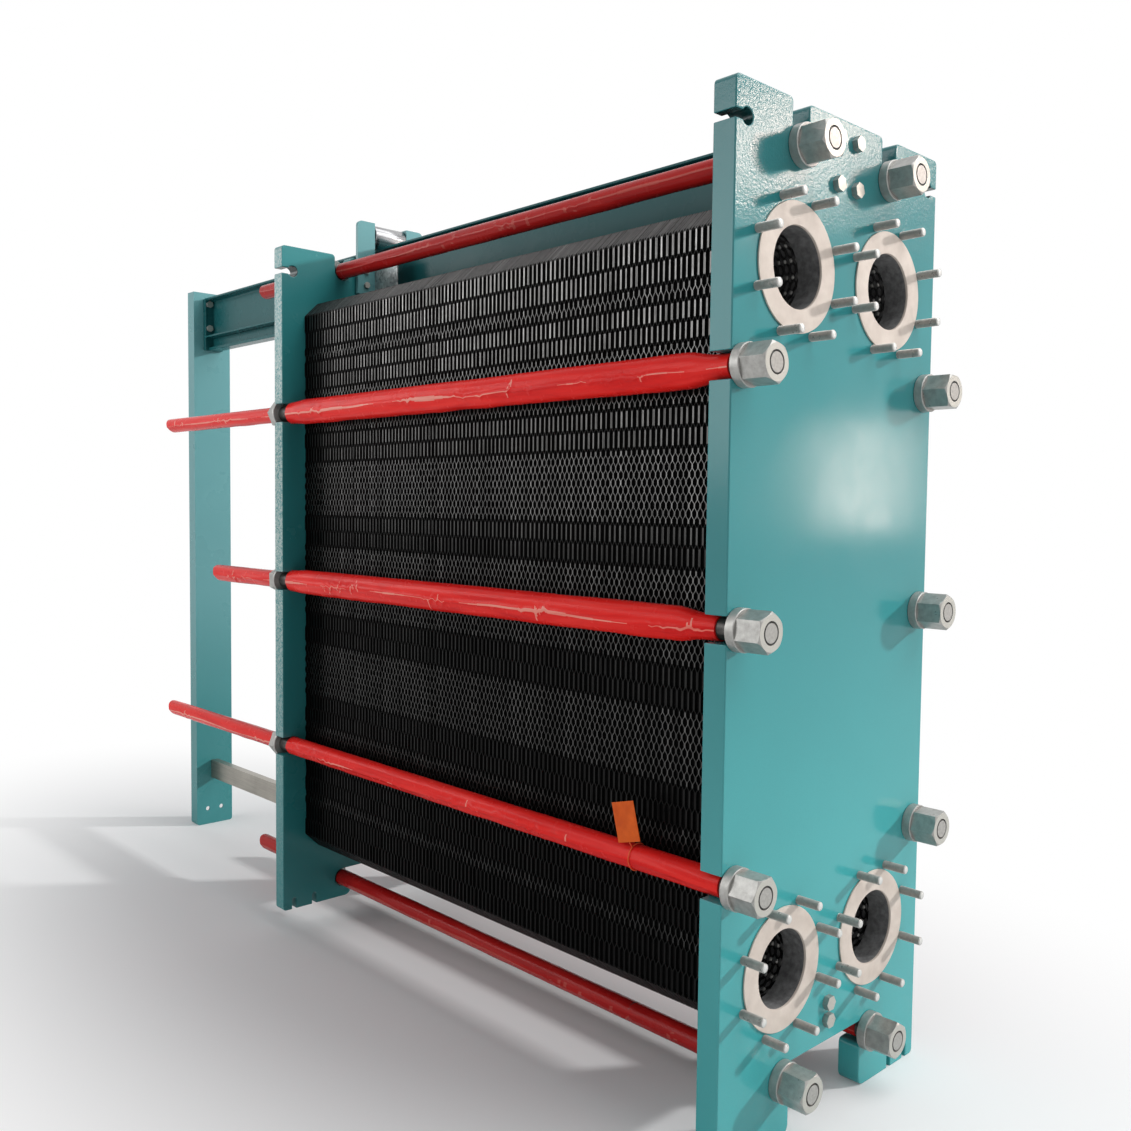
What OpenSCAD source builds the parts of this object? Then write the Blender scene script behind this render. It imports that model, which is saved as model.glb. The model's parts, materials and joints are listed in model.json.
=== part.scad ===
// Plate condenser: a gasketed plate-and-frame heat exchanger.
// X runs across the frame plate, Y from the ports (front) to the support
// column (back), Z up from the floor. The origin is on the floor, in the
// middle of the machine. Depths are measured back from the frame plate's face.

/* [Frame plate] */
// Width of the frame plate and the pressure plate
plate_w = 780; // [760:1:840]
// Height of the frame plate above the floor
plate_h = 2200; // [2192:1:2240]
// Thickness of the frame plate
frame_t = 56; // [40:1:80]
// Radius of the outer corners of both plates
corner_r = 12; // [4:1:18]
// Width of the opening between the two feet
leg_gap = 282; // [240:2:290]
// Radius at the ends of the feet
foot_r = 22; // [6:1:26]

/* [Lifting and foot notches] */
// Depth of the lifting holes below the top edge
key_drop = 76; // [60:1:90]
// Distance of the lifting holes from the side edge
key_in = 38; // [30:1:50]
// Diameter of the lifting holes
key_d = 34; // [24:1:40]
// Height of the slot that opens a lifting hole to the side
key_slot = 18; // [10:1:22]
// Height of the notches in the feet
notch_h = 36; // [20:1:45]
// Width of the notches in the feet
notch_w = 16; // [8:1:22]
// Distance of the outer notch from the side edge
notch_in = 40; // [30:1:50]
// Distance between the two notches of one foot
notch_dx = 72; // [50:1:90]

/* [Ports] */
// Bore of the ports
port_d = 171; // [140:1:180]
// Gap between the stud circles of the left and right ports
port_gap = 61; // [42:1:85]
// Distance of the ports from the ends of the heat transfer plates
port_end = 164; // [155:1:175]
// Outer diameter of a port liner's collar
liner_d = 270; // [230:1:272]
// Thickness of a liner's collar on the face of the plate
liner_t = 4; // [2:0.5:8]
// Wall of a liner's sleeve inside the plate
liner_wall = 5; // [3:0.5:10]
// Diameter of the port holes in the heat transfer plates
channel_d = 176; // [170:1:190]

/* [Flange studs] */
// Number of studs round each port
stud_n = 8; // [4:4:12]
// Diameter of the circle through the studs
stud_pcd = 295; // [294:1:310]
// Diameter of a stud
stud_d = 20; // [12:1:21]
// Length of a stud in front of the plate
stud_out = 57; // [40:1:80]
// Length of a stud inside the plate
stud_in = 30; // [20:1:35]
// Diameter of a stud inside the plate
stud_core = 18; // [10:1:19]
// Chamfer at the end of a stud
stud_cham = 1.5; // [0.5:0.5:3]

/* [Tie bolts] */
// Diameter of the tie bolts
tie_d = 48; // [36:1:50]
// Width of the slots that take the tie bolts
slot_w = 57; // [56.8:0.1:60]
// Distance of the side bolts from the side edges of the frame plate
side_in = 37; // [32:1:45]
// Vertical distance from the middle side bolt to the next
side_dz = 523.5; // [480:0.5:540]
// Distance of the top and bottom bolts from the middle
end_x = 172.5; // [170:0.5:175]
// Distance of the top and bottom bolts from the ends of the heat transfer plates
end_gap = 83; // [79:1:89]
// Width across flats of the nuts
nut_af = 75; // [60:1:76]
// Height of the front nuts
nut_h = 60; // [40:1:70]
// Diameter of the front washers
washer_d = 90; // [80:1:92]
// Thickness of the front washers
washer_t = 22; // [10:1:30]
// Diameter of the rear washers
rear_washer_d = 84; // [76:1:90]
// Thickness of the rear washers
rear_washer_t = 10; // [5:1:20]
// Chamfer round the edges of the washers
washer_cham = 1.5; // [0.5:0.5:2.5]
// Height of the rear nuts
rear_nut_h = 26; // [20:1:45]
// Depth of the rear end of the upper and lower side bolts
long_tie = 2590; // [2400:5:2700]
// Depth of the rear end of the middle side bolts
mid_tie = 2215; // [2100:5:2400]
// Depth of the rear end of the top and bottom bolts
end_tie = 2235; // [2100:5:2400]
// Chamfer at the ends of a tie bolt
tie_cham = 4; // [1:0.5:8]
// Outer diameter of the film sleeves on the bolts
film_d = 56; // [54:0.5:56.5]
// Distance of the film from the washer at its front end
film_start = 18; // [5:1:40]
// Length of film past the end of a bolt
film_over = 12; // [4:1:20]

/* [Plate pack] */
// Clearance between the side bolts and the heat transfer plates
bolt_clear = 17; // [9:0.5:25]
// Distance of the plates' top below the frame plate's
pack_drop = 177; // [170:1:185]
// Height of the plates' lower edge above the floor
pack_low = 213; // [205:1:225]
// Length of the tightened pack
pack_len = 1688; // [1500:1:1700]
// Width of the cut corners of a plate
cut_x = 107; // [60:1:108]
// Height of the cut corners of a plate
cut_z = 79; // [50:1:85]
// Number of plate groups that show as ribs round the pack
group_n = 12; // [6:1:16]
// Width of the grooves between the groups
groove_w = 18; // [6:1:30]
// Depth of the grooves between the groups
groove_in = 9; // [4:0.5:12]

/* [Pressure plate] */
// Thickness of the pressure plate
press_t = 47; // [35:1:60]
// Distance of its top edge below the frame plate's
press_drop = 45; // [30:1:60]
// Height of its feet above the floor
press_lift = 67; // [40:1:80]
// Width of the notch in it for the carrying bar
beam_notch = 110; // [100:1:116]
// Running clearance round the two bars
bar_gap = 3; // [2:0.5:5]

/* [Carrying bar] */
// Height of the carrying bar
beam_h = 160; // [150:1:180]
// Width of the carrying bar
beam_w = 82; // [74:1:90]
// Thickness of its web
beam_web = 5; // [4:0.5:8]
// Thickness of its flanges
beam_flange = 7.4; // [5:0.1:9]
// Height of the hanging rail under the bar
rail_h = 50; // [45:1:70]
// Width of the rail's foot
rail_w = 46; // [36:1:60]
// Thickness of the rail's foot
rail_foot = 12; // [8:1:16]
// Thickness of the rail's stem
rail_web = 10; // [6:1:16]
// Depth of the lip by which a plate hangs on the rail
hang_lip = 21; // [15:1:25]
// Thickness of the front end plate of the bar
front_pad_t = 15; // [10:1:25]
// Width of the front end plate
front_pad_w = 112; // [104:1:120]
// Thickness of the rear end plate
rear_pad_t = 20; // [12:1:30]
// Width of the rear end plate
rear_pad_w = 76; // [74:1:110]

/* [Guide bar] */
// Width of the guide bar
guide_w = 30; // [28:1:40]
// Height of the guide bar
guide_h = 75; // [66:1:90]
// Height of the guide bar's top above the lower edge of the plates
guide_bite = 60; // [40:1:64]

/* [Column] */
// Depth of the front face of the support column
column_y = 3025; // [2800:5:3200]
// Width of the column
column_w = 157; // [120:1:180]
// Depth of the column's section
column_d = 55; // [45:1:80]
// Wall of the column's section
column_t = 8; // [6:0.5:12]
// Height of the column above the carrying bar
column_rise = 26; // [10:1:60]
// Radius of the corners at the column's foot
column_r = 12; // [4:1:20]
// Diameter of the anchor holes at the column's foot
anchor_d = 18; // [12:1:22]
// Distance between the anchor holes
anchor_dx = 60; // [50:1:80]
// Height of the anchor holes
anchor_z = 66; // [40:1:90]

/* [Fixing bolts] */
// Diameter of the carrying bar's front bolts
front_bolt_d = 20; // [12:1:20]
// Distance of the front bolts from the middle
front_bolt_x = 36; // [34:1:38]
// Vertical distance between the front bolts
front_bolt_dz = 100; // [80:1:110]
// Drop of the front bolts below the middle of the bar
front_bolt_drop = 12; // [0:1:14]
// Diameter of the carrying bar's rear bolts
rear_bolt_d = 16; // [10:1:16]
// Distance of the rear bolts from the middle
rear_bolt_x = 21; // [19:1:22]
// Vertical distance between the rear bolts
rear_bolt_dz = 98; // [70:1:98]
// Rise of the rear bolts above the middle of the bar
rear_bolt_rise = 8; // [0:1:10]
// Vertical distance between the guide bar's bolts
guide_bolt_dz = 40; // [38:1:42]
// Drop of the guide bar's bolts below its middle
guide_bolt_drop = 6; // [0:1:7]
// Depth of the guide bar's bolts in its ends
guide_bolt_in = 40; // [20:1:60]

/* [Roller hanger] */
// Diameter of the roller on the carrying bar
roller_d = 74; // [60:1:90]
// Length of the roller
roller_len = 118; // [100:1:120]
// Diameter of the roller's axle
axle_d = 24; // [16:1:30]
// Depth of the axle behind the pressure plate's face
axle_y = 16; // [14:1:24]
// Distance between the two hanger brackets
hanger_gap = 124; // [122:1:130]
// Width of a hanger bracket's front leg
hanger_w = 65; // [55:1:68]
// Thickness of a hanger bracket
hanger_t = 12; // [8:1:15]
// Height of a bracket above the axle
hanger_over = 38; // [24:1:45]
// Radius of a bracket's top corners
hanger_r = 16; // [6:1:20]
// Length of the slide angles beside the bar
slide_len = 142; // [80:1:160]
// Height of the slide angles
slide_h = 97; // [80:1:99]
// Thickness of the slide angles
slide_t = 5; // [3:0.5:8]
// Vertical distance between the hanger's bolts
hanger_bolt_dz = 45; // [40:1:55]
// Depth of the middle of the hanger's bolts below the middle of the slide angles
hanger_bolt_sink = 8; // [0:1:12]
// Diameter of the hanger's bolts
hanger_bolt_d = 12; // [8:1:14]
// Depth of the hanger's bolts in the pressure plate
hanger_bolt_in = 24; // [12:1:30]

/* [Tag] */
// Width of the tag
tag_w = 66; // [50:1:80]
// Height of the tag
tag_h = 88; // [60:1:100]
// Thickness of the tag
tag_t = 1.5; // [1:0.5:3]
// Lean of the tag
tag_lean = 15; // [0:1:20]
// Depth of the tag's strap
tag_y = 262; // [220:1:320]
// Thickness of the tag's strap
strap_d = 2.6; // [2:0.2:5]
// Length of the strap's tail
tail_len = 16; // [8:1:30]
// Turn of the tail from upright
tail_turn = 35; // [20:1:50]

/* [Hidden] */

$fn = 64;
// Clearance of a pin in its hole, on the radius
pin_gap = 0.2;
// Clearance of a seat that isn't face to face
seat_gap = 0.3;
// Overshoot of a cut past a face
over = 1;
// A bolt head's height and width across flats, as shares of its diameter
head_share = 0.65;
flats_share = 1.5;
// A nut's height, as a share of its bolt's diameter
nut_share = 0.8;
// The face of a big nut and the depth of its chamfer, as shares of its corner radius
face_share = 0.86;
bevel_share = 0.1;
// How far a bevel's cone stands clear of a nut's corners
clear_share = 1.02;
// Turns of the bolts' heads about their axes, in degrees
bar_turn = 15;
rear_turn = 20;
hanger_turn = 10;
back_nut_turn = 5;
// Press of the rear bolts' threads into their nuts, on the diameter
thread_bite = 0.1;

front_reach = max(nut_h + washer_t, stud_out);
total_len = front_reach + column_y + column_d;
face_y = front_reach - total_len / 2;

press_y = frame_t + pack_len;
beam_y = frame_t + front_pad_t;
beam_len = column_y - rear_pad_t - beam_y;
press_back = press_y + press_t;
press_top = plate_h - press_drop;

pack_top = plate_h - pack_drop;
pack_h = pack_top - pack_low;
mid_z = pack_low + pack_h / 2;
side_x = plate_w / 2 - side_in;
pack_w = 2 * (side_x - tie_d / 2 - bolt_clear);
port_dx = stud_pcd + port_gap;
port_dz = pack_h - 2 * port_end;
end_dz = pack_h / 2 + end_gap;
rail_foot_top = pack_top - hang_lip - seat_gap;
rail_low = rail_foot_top - rail_foot;
beam_low = rail_low + rail_h;
beam_mid = beam_low + beam_h / 2;
beam_top = beam_low + beam_h;
guide_top = pack_low + guide_bite;
guide_mid = guide_top - guide_h / 2;
guide_low = guide_top - guide_h;
leg_top = mid_z - end_dz + slot_w / 2;
column_h = beam_top + column_rise;

rear_nut_end = press_back + rear_washer_t + rear_nut_h;
axle_z = beam_top + roller_d / 2 + seat_gap;
hanger_top = axle_z + hanger_over;
hanger_x = hanger_gap / 2;
slide_low = press_top - slide_h - slide_t;
hanger_low = slide_low - hanger_t;
hanger_bolt_x = hanger_x + hanger_w / 2;
hanger_bolt_z = slide_low + slide_h / 2 - hanger_bolt_sink;
strap_r = film_d / 2 + seat_gap + strap_d / 2;

teal = [0.33, 0.63, 0.63];
dark_teal = [0.16, 0.42, 0.42];
zinc = [0.75, 0.75, 0.73];
steel = [0.62, 0.60, 0.56];
black = [0.08, 0.08, 0.08];
red = [0.80, 0.14, 0.12];
liner_grey = [0.78, 0.72, 0.66];
orange = [0.80, 0.35, 0.12];

left_side = [for (k = [-1, 0, 1]) [-side_x, mid_z + k * side_dz]];
right_side = [for (k = [-1, 0, 1]) [side_x, mid_z + k * side_dz]];
top_pair = [for (s = [-1, 1]) [s * end_x, mid_z + end_dz]];
low_pair = [for (s = [-1, 1]) [s * end_x, mid_z - end_dz]];
all_ties = concat(left_side, right_side, top_pair, low_pair);

function tie_end(p) = abs(p[0]) < side_x ? end_tie : p[1] == mid_z ? mid_tie : long_tie;

// Puts its children at a depth behind the frame plate's front face.
module at_depth(d) {
    translate([0, face_y + d, 0]) children();
}

// Stands an X-Z outline up and gives it a thickness towards the back.
module slab(depth, t) {
    at_depth(depth + t) rotate([90, 0, 0]) linear_extrude(t) children();
}

// A round bar along Y at an X-Z place.
module bar_y(p, depth, len, d) {
    translate([p[0], face_y + depth, p[1]]) rotate([-90, 0, 0]) cylinder(d = d, h = len);
}

// A hexagonal prism along Y, turned by an angle.
module hex_y(p, depth, len, af, turn) {
    translate([p[0], face_y + depth, p[1]]) rotate([-90, 0, 0]) rotate([0, 0, turn])
        cylinder(d = af / cos(30), h = len, $fn = 6);
}

// The waste outside a rounded corner; sx and sz point to the corner.
module corner_waste(x, z, r, sx, sz) {
    translate([x - sx * r, z - sz * r]) difference() {
        translate([sx > 0 ? 0 : -r - over, sz > 0 ? 0 : -r - over]) square(r + over);
        circle(r);
    }
}

// A slot from a bolt's place out to an edge, along X or Z.
module open_slot(p, w, dx, dz) {
    x0 = dx == 0 ? -w / 2 : min(dx, 0);
    z0 = dz == 0 ? -w / 2 : min(dz, 0);
    translate(p) circle(d = w);
    translate([p[0] + x0, p[1] + z0])
        square([dx == 0 ? w : abs(dx), dz == 0 ? w : abs(dz)]);
}

// The outline shared by the frame plate and the pressure plate.
module plate_outline(top, bottom) {
    edge = plate_w / 2;
    difference() {
        translate([-edge, bottom]) square([plate_w, top - bottom]);
        for (p = concat(left_side, right_side))
            open_slot(p, slot_w, sign(p[0]) * (edge - side_x + over), 0);
        for (p = top_pair) {
            open_slot(p, slot_w, 0, top - p[1] + over);
            corner_waste(p[0] - slot_w / 2, top, corner_r, 1, 1);
            corner_waste(p[0] + slot_w / 2, top, corner_r, -1, 1);
        }
        for (p = low_pair) open_slot(p, slot_w, -p[0], 0);
        translate([-leg_gap / 2, bottom - over]) square([leg_gap, leg_top - bottom + over]);
        for (s = [-1, 1]) {
            open_slot([s * (edge - key_in), top - key_drop], key_slot, s * (key_in + over), 0);
            translate([s * (edge - key_in), top - key_drop]) circle(d = key_d);
            corner_waste(s * edge, top, corner_r, s, 1);
            corner_waste(s * edge, bottom, corner_r, s, -1);
            corner_waste(s * leg_gap / 2, bottom, foot_r, -s, -1);
            corner_waste(s * leg_gap / 2, leg_top - slot_w, corner_r, -s, 1);
            for (x = [edge - notch_in, edge - notch_in - notch_dx])
                open_slot([s * x, bottom + notch_h - notch_w / 2], notch_w, 0, -notch_h);
        }
    }
}

// The centres of the four ports, and of the bolts at the bars' ends.
function port_at(sx, sz) = [sx * port_dx / 2, mid_z + sz * port_dz / 2];
ports = [for (sx = [-1, 1], sz = [-1, 1]) port_at(sx, sz)];
front_bolts = [for (sx = [-1, 1], sz = [-1, 1])
    [sx * front_bolt_x, beam_mid - front_bolt_drop + sz * front_bolt_dz / 2]];
rear_bolts = [for (sx = [-1, 1], sz = [-1, 1])
    [sx * rear_bolt_x, beam_mid + rear_bolt_rise + sz * rear_bolt_dz / 2]];
bar_bolts = [for (sz = [-1, 1]) [0, guide_mid - guide_bolt_drop + sz * guide_bolt_dz / 2]];
hanger_bolts_at = [for (sx = [-1, 1], sz = [-1, 1])
    [sx * hanger_bolt_x, hanger_bolt_z + sz * hanger_bolt_dz / 2]];

function stud_at(c, k) = [
    c[0] + stud_pcd / 2 * cos((k + 0.5) * 360 / stud_n),
    c[1] + stud_pcd / 2 * sin((k + 0.5) * 360 / stud_n)];

module frame_plate() {
    color(teal) difference() {
        slab(0, frame_t) plate_outline(plate_h, 0);
        for (p = ports) {
            bar_y(p, -over, frame_t + 2 * over, port_d + 2 * liner_wall + 2 * pin_gap);
            for (k = [0:stud_n - 1])
                bar_y(stud_at(p, k), -over, stud_in + over, stud_core + 2 * pin_gap);
        }
        for (p = concat(front_bolts, bar_bolts))
            bar_y(p, -over, frame_t + 2 * over, front_bolt_d + 2 * pin_gap);
    }
}

module pressure_plate() {
    notch_low = rail_low - bar_gap;
    color(dark_teal) difference() {
        slab(press_y, press_t) plate_outline(press_top, press_lift);
        slab(press_y - over, press_t + 2 * over) {
            translate([-beam_notch / 2, notch_low])
                square([beam_notch, press_top - notch_low + over]);
            translate([-guide_w / 2 - bar_gap, leg_top - over])
                square([guide_w + 2 * bar_gap, guide_top + bar_gap - leg_top + over]);
        }
        for (p = hanger_bolts_at)
            bar_y(p, press_y - over, hanger_bolt_in + over, hanger_bolt_d + 2 * pin_gap);
    }
}

// Outline of the heat transfer plates, drawn in from their edges.
module pack_outline(in) {
    w = pack_w / 2 - in;
    h = pack_h / 2 - in;
    translate([0, mid_z]) polygon([
        [-w, cut_z - h], [cut_x - w, -h], [w - cut_x, -h], [w, cut_z - h],
        [w, h - cut_z], [w - cut_x, h], [cut_x - w, h], [-w, h - cut_z]]);
}

// The hanging and guide notches of the plates, and their ports.
module pack_cuts() {
    stem = rail_web / 2 + bar_gap;
    foot = rail_w / 2 + bar_gap;
    guide = guide_w / 2 + seat_gap;
    translate([-stem, rail_low]) square([2 * stem, pack_top - rail_low + over]);
    translate([-foot, rail_low - bar_gap]) square([2 * foot, rail_foot + bar_gap + seat_gap]);
    translate([-guide, pack_low - over]) square([2 * guide, guide_bite + seat_gap + over]);
    for (p = ports) translate(p) circle(d = channel_d);
}

// The tightened pack. Grooves part it into groups of plates.
module plate_pack() {
    group_len = (pack_len - (group_n - 1) * groove_w) / group_n;
    color(black) difference() {
        union() {
            slab(frame_t, pack_len) pack_outline(groove_in);
            for (k = [0:group_n - 1])
                slab(frame_t + k * (group_len + groove_w), group_len) pack_outline(0);
        }
        slab(frame_t - over, pack_len + 2 * over) pack_cuts();
    }
}

module carrying_bar() {
    color(teal) slab(beam_y, beam_len) difference() {
        translate([-beam_w / 2, beam_low]) square([beam_w, beam_h]);
        for (s = [-1, 1])
            translate([s > 0 ? beam_web / 2 : -beam_w / 2 - over, beam_low + beam_flange])
                square([beam_w / 2 - beam_web / 2 + over, beam_h - 2 * beam_flange]);
    }
}

module hanging_rail() {
    color(dark_teal) slab(beam_y, beam_len) {
        translate([-rail_w / 2, rail_low]) square([rail_w, rail_foot]);
        translate([-rail_web / 2, rail_low]) square([rail_web, rail_h]);
    }
}

module guide_bar() {
    color(steel) difference() {
        slab(frame_t, column_y - frame_t)
            translate([-guide_w / 2, guide_low]) square([guide_w, guide_h]);
        for (p = bar_bolts) {
            bar_y(p, frame_t - over, guide_bolt_in + over, front_bolt_d + 2 * pin_gap);
            bar_y(p, column_y - guide_bolt_in, guide_bolt_in + over, rear_bolt_d + 2 * pin_gap);
        }
    }
}

module support_column() {
    color(teal) difference() {
        slab(column_y, column_d) difference() {
            translate([-column_w / 2, 0]) square([column_w, column_h]);
            for (s = [-1, 1]) corner_waste(s * column_w / 2, 0, column_r, s, -1);
        }
        at_depth(column_y + column_t) translate([column_t - column_w / 2, 0, -over])
            cube([column_w - 2 * column_t, column_d, column_h + 2 * over]);
        for (p = concat(rear_bolts, bar_bolts))
            bar_y(p, column_y - over, column_t + 2 * over, rear_bolt_d + 2 * pin_gap);
        for (s = [-1, 1])
            bar_y([s * anchor_dx / 2, anchor_z], column_y - over, column_t + 2 * over, anchor_d);
    }
}

module bar_end_front() {
    color(teal) difference() {
        slab(frame_t, front_pad_t)
            translate([-front_pad_w / 2, pack_top + bar_gap])
                square([front_pad_w, beam_top - pack_top - bar_gap]);
        for (p = front_bolts)
            bar_y(p, frame_t - over, front_pad_t + 2 * over, front_bolt_d + 2 * pin_gap);
    }
}

module bar_end_rear() {
    color(teal) difference() {
        slab(column_y - rear_pad_t, rear_pad_t)
            translate([-rear_pad_w / 2, rail_low]) square([rear_pad_w, beam_top - rail_low]);
        for (p = rear_bolts)
            bar_y(p, column_y - rear_pad_t - over, rear_pad_t + 2 * over, rear_bolt_d + 2 * pin_gap);
    }
}

// A liner: a collar on the plate's face and a sleeve through the plate.
module port_liner(c) {
    color(liner_grey) difference() {
        union() {
            bar_y(c, -liner_t, liner_t, liner_d);
            bar_y(c, -over, frame_t + over, port_d + 2 * liner_wall);
        }
        bar_y(c, -liner_t - over, frame_t + liner_t + 2 * over, port_d);
    }
}

// A stud with a chamfered end and a shoulder that stands on the plate's face.
module stud(p) {
    r = stud_d / 2;
    core = stud_core / 2;
    translate([p[0], face_y - stud_out, p[1]]) rotate([-90, 0, 0]) rotate_extrude()
        polygon([[0, 0], [r - stud_cham, 0], [r, stud_cham], [r, stud_out], [core, stud_out],
            [core, stud_out + stud_in], [0, stud_out + stud_in]]);
}

module port_studs(c) {
    color(zinc) for (k = [0:stud_n - 1]) stud(stud_at(c, k));
}

// A tie bolt with chamfered ends, from its front nut's face to its rear end.
module tie_bolt(p) {
    len = nut_h + washer_t + tie_end(p);
    r = tie_d / 2;
    translate([p[0], face_y - nut_h - washer_t, p[1]]) rotate([-90, 0, 0]) rotate_extrude()
        polygon([[0, 0], [r - tie_cham, 0], [r, tie_cham], [r, len - tie_cham],
            [r - tie_cham, len], [0, len]]);
}

module tie_bolts(row) {
    color(zinc) for (p = row) tie_bolt(p);
}

module ring_y(p, depth, len, od, id) {
    difference() {
        bar_y(p, depth, len, od);
        bar_y(p, depth - over, len + 2 * over, id);
    }
}

// A washer with chamfered edges, on a tie bolt.
module washer_y(p, depth, t, d) {
    hole = tie_d / 2 + pin_gap;
    r = d / 2;
    translate([p[0], face_y + depth, p[1]]) rotate([-90, 0, 0]) rotate_extrude()
        polygon([[hole, 0], [r - washer_cham, 0], [r, washer_cham], [r, t - washer_cham],
            [r - washer_cham, t], [hole, t]]);
}

module front_washers() {
    color(zinc) for (p = all_ties) washer_y(p, -washer_t, washer_t, washer_d);
}

module rear_washers() {
    color(zinc) for (p = all_ties) washer_y(p, press_back, rear_washer_t, rear_washer_d);
}

// The nuts stop at different angles, as they were tightened.
function nut_turn(i) = (i * 37) % 60;

module front_nuts() {
    corner = nut_af / 2 / cos(30);
    depth = -nut_h - washer_t;
    color(zinc) for (i = [0:len(all_ties) - 1]) difference() {
        intersection() {
            hex_y(all_ties[i], depth, nut_h, nut_af, nut_turn(i));
            translate([all_ties[i][0], face_y + depth, all_ties[i][1]])
                rotate([-90, 0, 0]) rotate_extrude() polygon([
                    [0, 0], [corner * face_share, 0],
                    [corner * clear_share, corner * bevel_share],
                    [corner * clear_share, nut_h], [0, nut_h]]);
        }
        bar_y(all_ties[i], depth - over, nut_h + 2 * over, tie_d + 2 * pin_gap);
    }
}

module rear_nuts() {
    color(zinc) for (i = [0:len(all_ties) - 1]) difference() {
        hex_y(all_ties[i], press_back + rear_washer_t, rear_nut_h, nut_af, nut_turn(i + 3));
        bar_y(all_ties[i], press_back, rear_nut_h + rear_washer_t + over, tie_d + 2 * pin_gap);
    }
}

module front_film(row) {
    color(red) for (p = row)
        ring_y(p, film_start, press_y - film_start, film_d, tie_d + 2 * pin_gap);
}

module rear_film(row) {
    color(red) for (p = row)
        ring_y(p, rear_nut_end, tie_end(p) + film_over - rear_nut_end, film_d, tie_d + 2 * pin_gap);
}

// An angle with a front leg on the pressure plate and a side leg for the axle.
module hanger_bracket(s) {
    front = press_y - slide_t - hanger_t;
    axle_at = [face_y + press_y + axle_y, axle_z];
    color(teal) difference() {
        union() {
            slab(front, hanger_t) translate([s > 0 ? hanger_x : -hanger_x - hanger_w, hanger_low])
                square([hanger_w, hanger_top - hanger_low]);
            translate([s > 0 ? hanger_x : -hanger_x - hanger_t, face_y + front, press_top + seat_gap])
                cube([hanger_t, slide_t + hanger_t + press_t, hanger_top - press_top - seat_gap]);
        }
        slab(front - over, hanger_t + press_t + slide_t + 2 * over)
            corner_waste(s * (hanger_x + hanger_w), hanger_top, hanger_r, s, 1);
        translate([0, axle_at[0], axle_at[1]]) rotate([0, 90, 0])
            cylinder(d = axle_d + 2 * pin_gap, h = 2 * (hanger_x + hanger_w), center = true);
        for (p = hanger_bolts_at)
            bar_y(p, front - over, hanger_t + 2 * over, hanger_bolt_d + 2 * pin_gap);
    }
}

// A galvanised angle that steadies the pressure plate beside the bar.
module slide_angle(s) {
    inner = hanger_x - slide_t;
    color(zinc) difference() {
        union() {
            slab(press_y - slide_t, slide_t)
                translate([s > 0 ? inner : -inner - hanger_w, slide_low]) square([hanger_w, slide_h]);
            slab(press_y - slide_len, slide_len)
                translate([s > 0 ? inner : -inner - slide_t, slide_low]) square([slide_t, slide_h]);
        }
        for (p = hanger_bolts_at)
            bar_y(p, press_y - slide_t - over, slide_t + 2 * over, hanger_bolt_d + 2 * pin_gap);
    }
}

module hanger_roller() {
    color(zinc) translate([0, face_y + press_y + axle_y, axle_z]) rotate([0, 90, 0]) difference() {
        cylinder(d = roller_d, h = roller_len, center = true);
        cylinder(d = axle_d + 2 * pin_gap, h = roller_len + 2 * over, center = true);
    }
}

module roller_axle() {
    color(steel) translate([0, face_y + press_y + axle_y, axle_z]) rotate([0, 90, 0])
        cylinder(d = axle_d, h = hanger_gap + 2 * hanger_t, center = true);
}

// A hexagon bolt that points to the back, its head in front of a face.
module hex_bolt(p, face, grip, d, turn) {
    hex_y(p, face - head_share * d, head_share * d, flats_share * d, turn);
    bar_y(p, face - over, grip + over, d);
}

module hanger_bolts() {
    stack = slide_t + hanger_t;
    color(zinc) for (p = hanger_bolts_at)
        hex_bolt(p, press_y - stack, stack + hanger_bolt_in - over, hanger_bolt_d, hanger_turn);
}

module bar_bolts_front() {
    color(zinc) for (p = front_bolts)
        hex_bolt(p, 0, frame_t + front_pad_t, front_bolt_d, bar_turn);
}

module bar_bolts_rear() {
    grip = rear_pad_t + column_t + rear_bolt_d;
    color(zinc) for (p = rear_bolts) {
        hex_bolt(p, column_y - rear_pad_t, grip, rear_bolt_d, rear_turn);
        difference() {
            hex_y(p, column_y + column_t, nut_share * rear_bolt_d, flats_share * rear_bolt_d,
                back_nut_turn);
            bar_y(p, column_y, column_t + rear_bolt_d, rear_bolt_d - thread_bite);
        }
    }
}

module guide_bolts() {
    color(zinc) for (p = bar_bolts) {
        hex_bolt(p, 0, frame_t + guide_bolt_in - over, front_bolt_d, 0);
        hex_y(p, column_y + column_t, head_share * rear_bolt_d, flats_share * rear_bolt_d, 0);
        bar_y(p, column_y + over - guide_bolt_in, guide_bolt_in + column_t, rear_bolt_d);
    }
}

// The tag stands on the tail of its strap, which is looped round the lowest
// left bolt. Its place is the end of the tail.
tag_bolt = [-side_x, mid_z - side_dz];
tail_end = strap_r + tail_len;
tag_at = [tag_bolt[0] - tail_end * sin(tail_turn), tag_bolt[1] + tail_end * cos(tail_turn)];

module tag_strap() {
    color(orange) translate([tag_bolt[0], face_y + tag_y, tag_bolt[1]]) {
        rotate([-90, 0, 0]) rotate_extrude() translate([strap_r, 0]) circle(d = strap_d, $fn = 32);
        rotate([0, -tail_turn, 0]) translate([0, 0, strap_r])
            cylinder(d = 0.9 * strap_d, h = tail_len, $fn = 32);
    }
}

module tag() {
    color(orange) translate([tag_at[0], face_y + tag_y, tag_at[1]])
        rotate([-tag_lean, 0, 0]) translate([-tag_t / 2, -tag_w / 2, seat_gap])
            cube([tag_t, tag_w, tag_h]);
}

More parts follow.
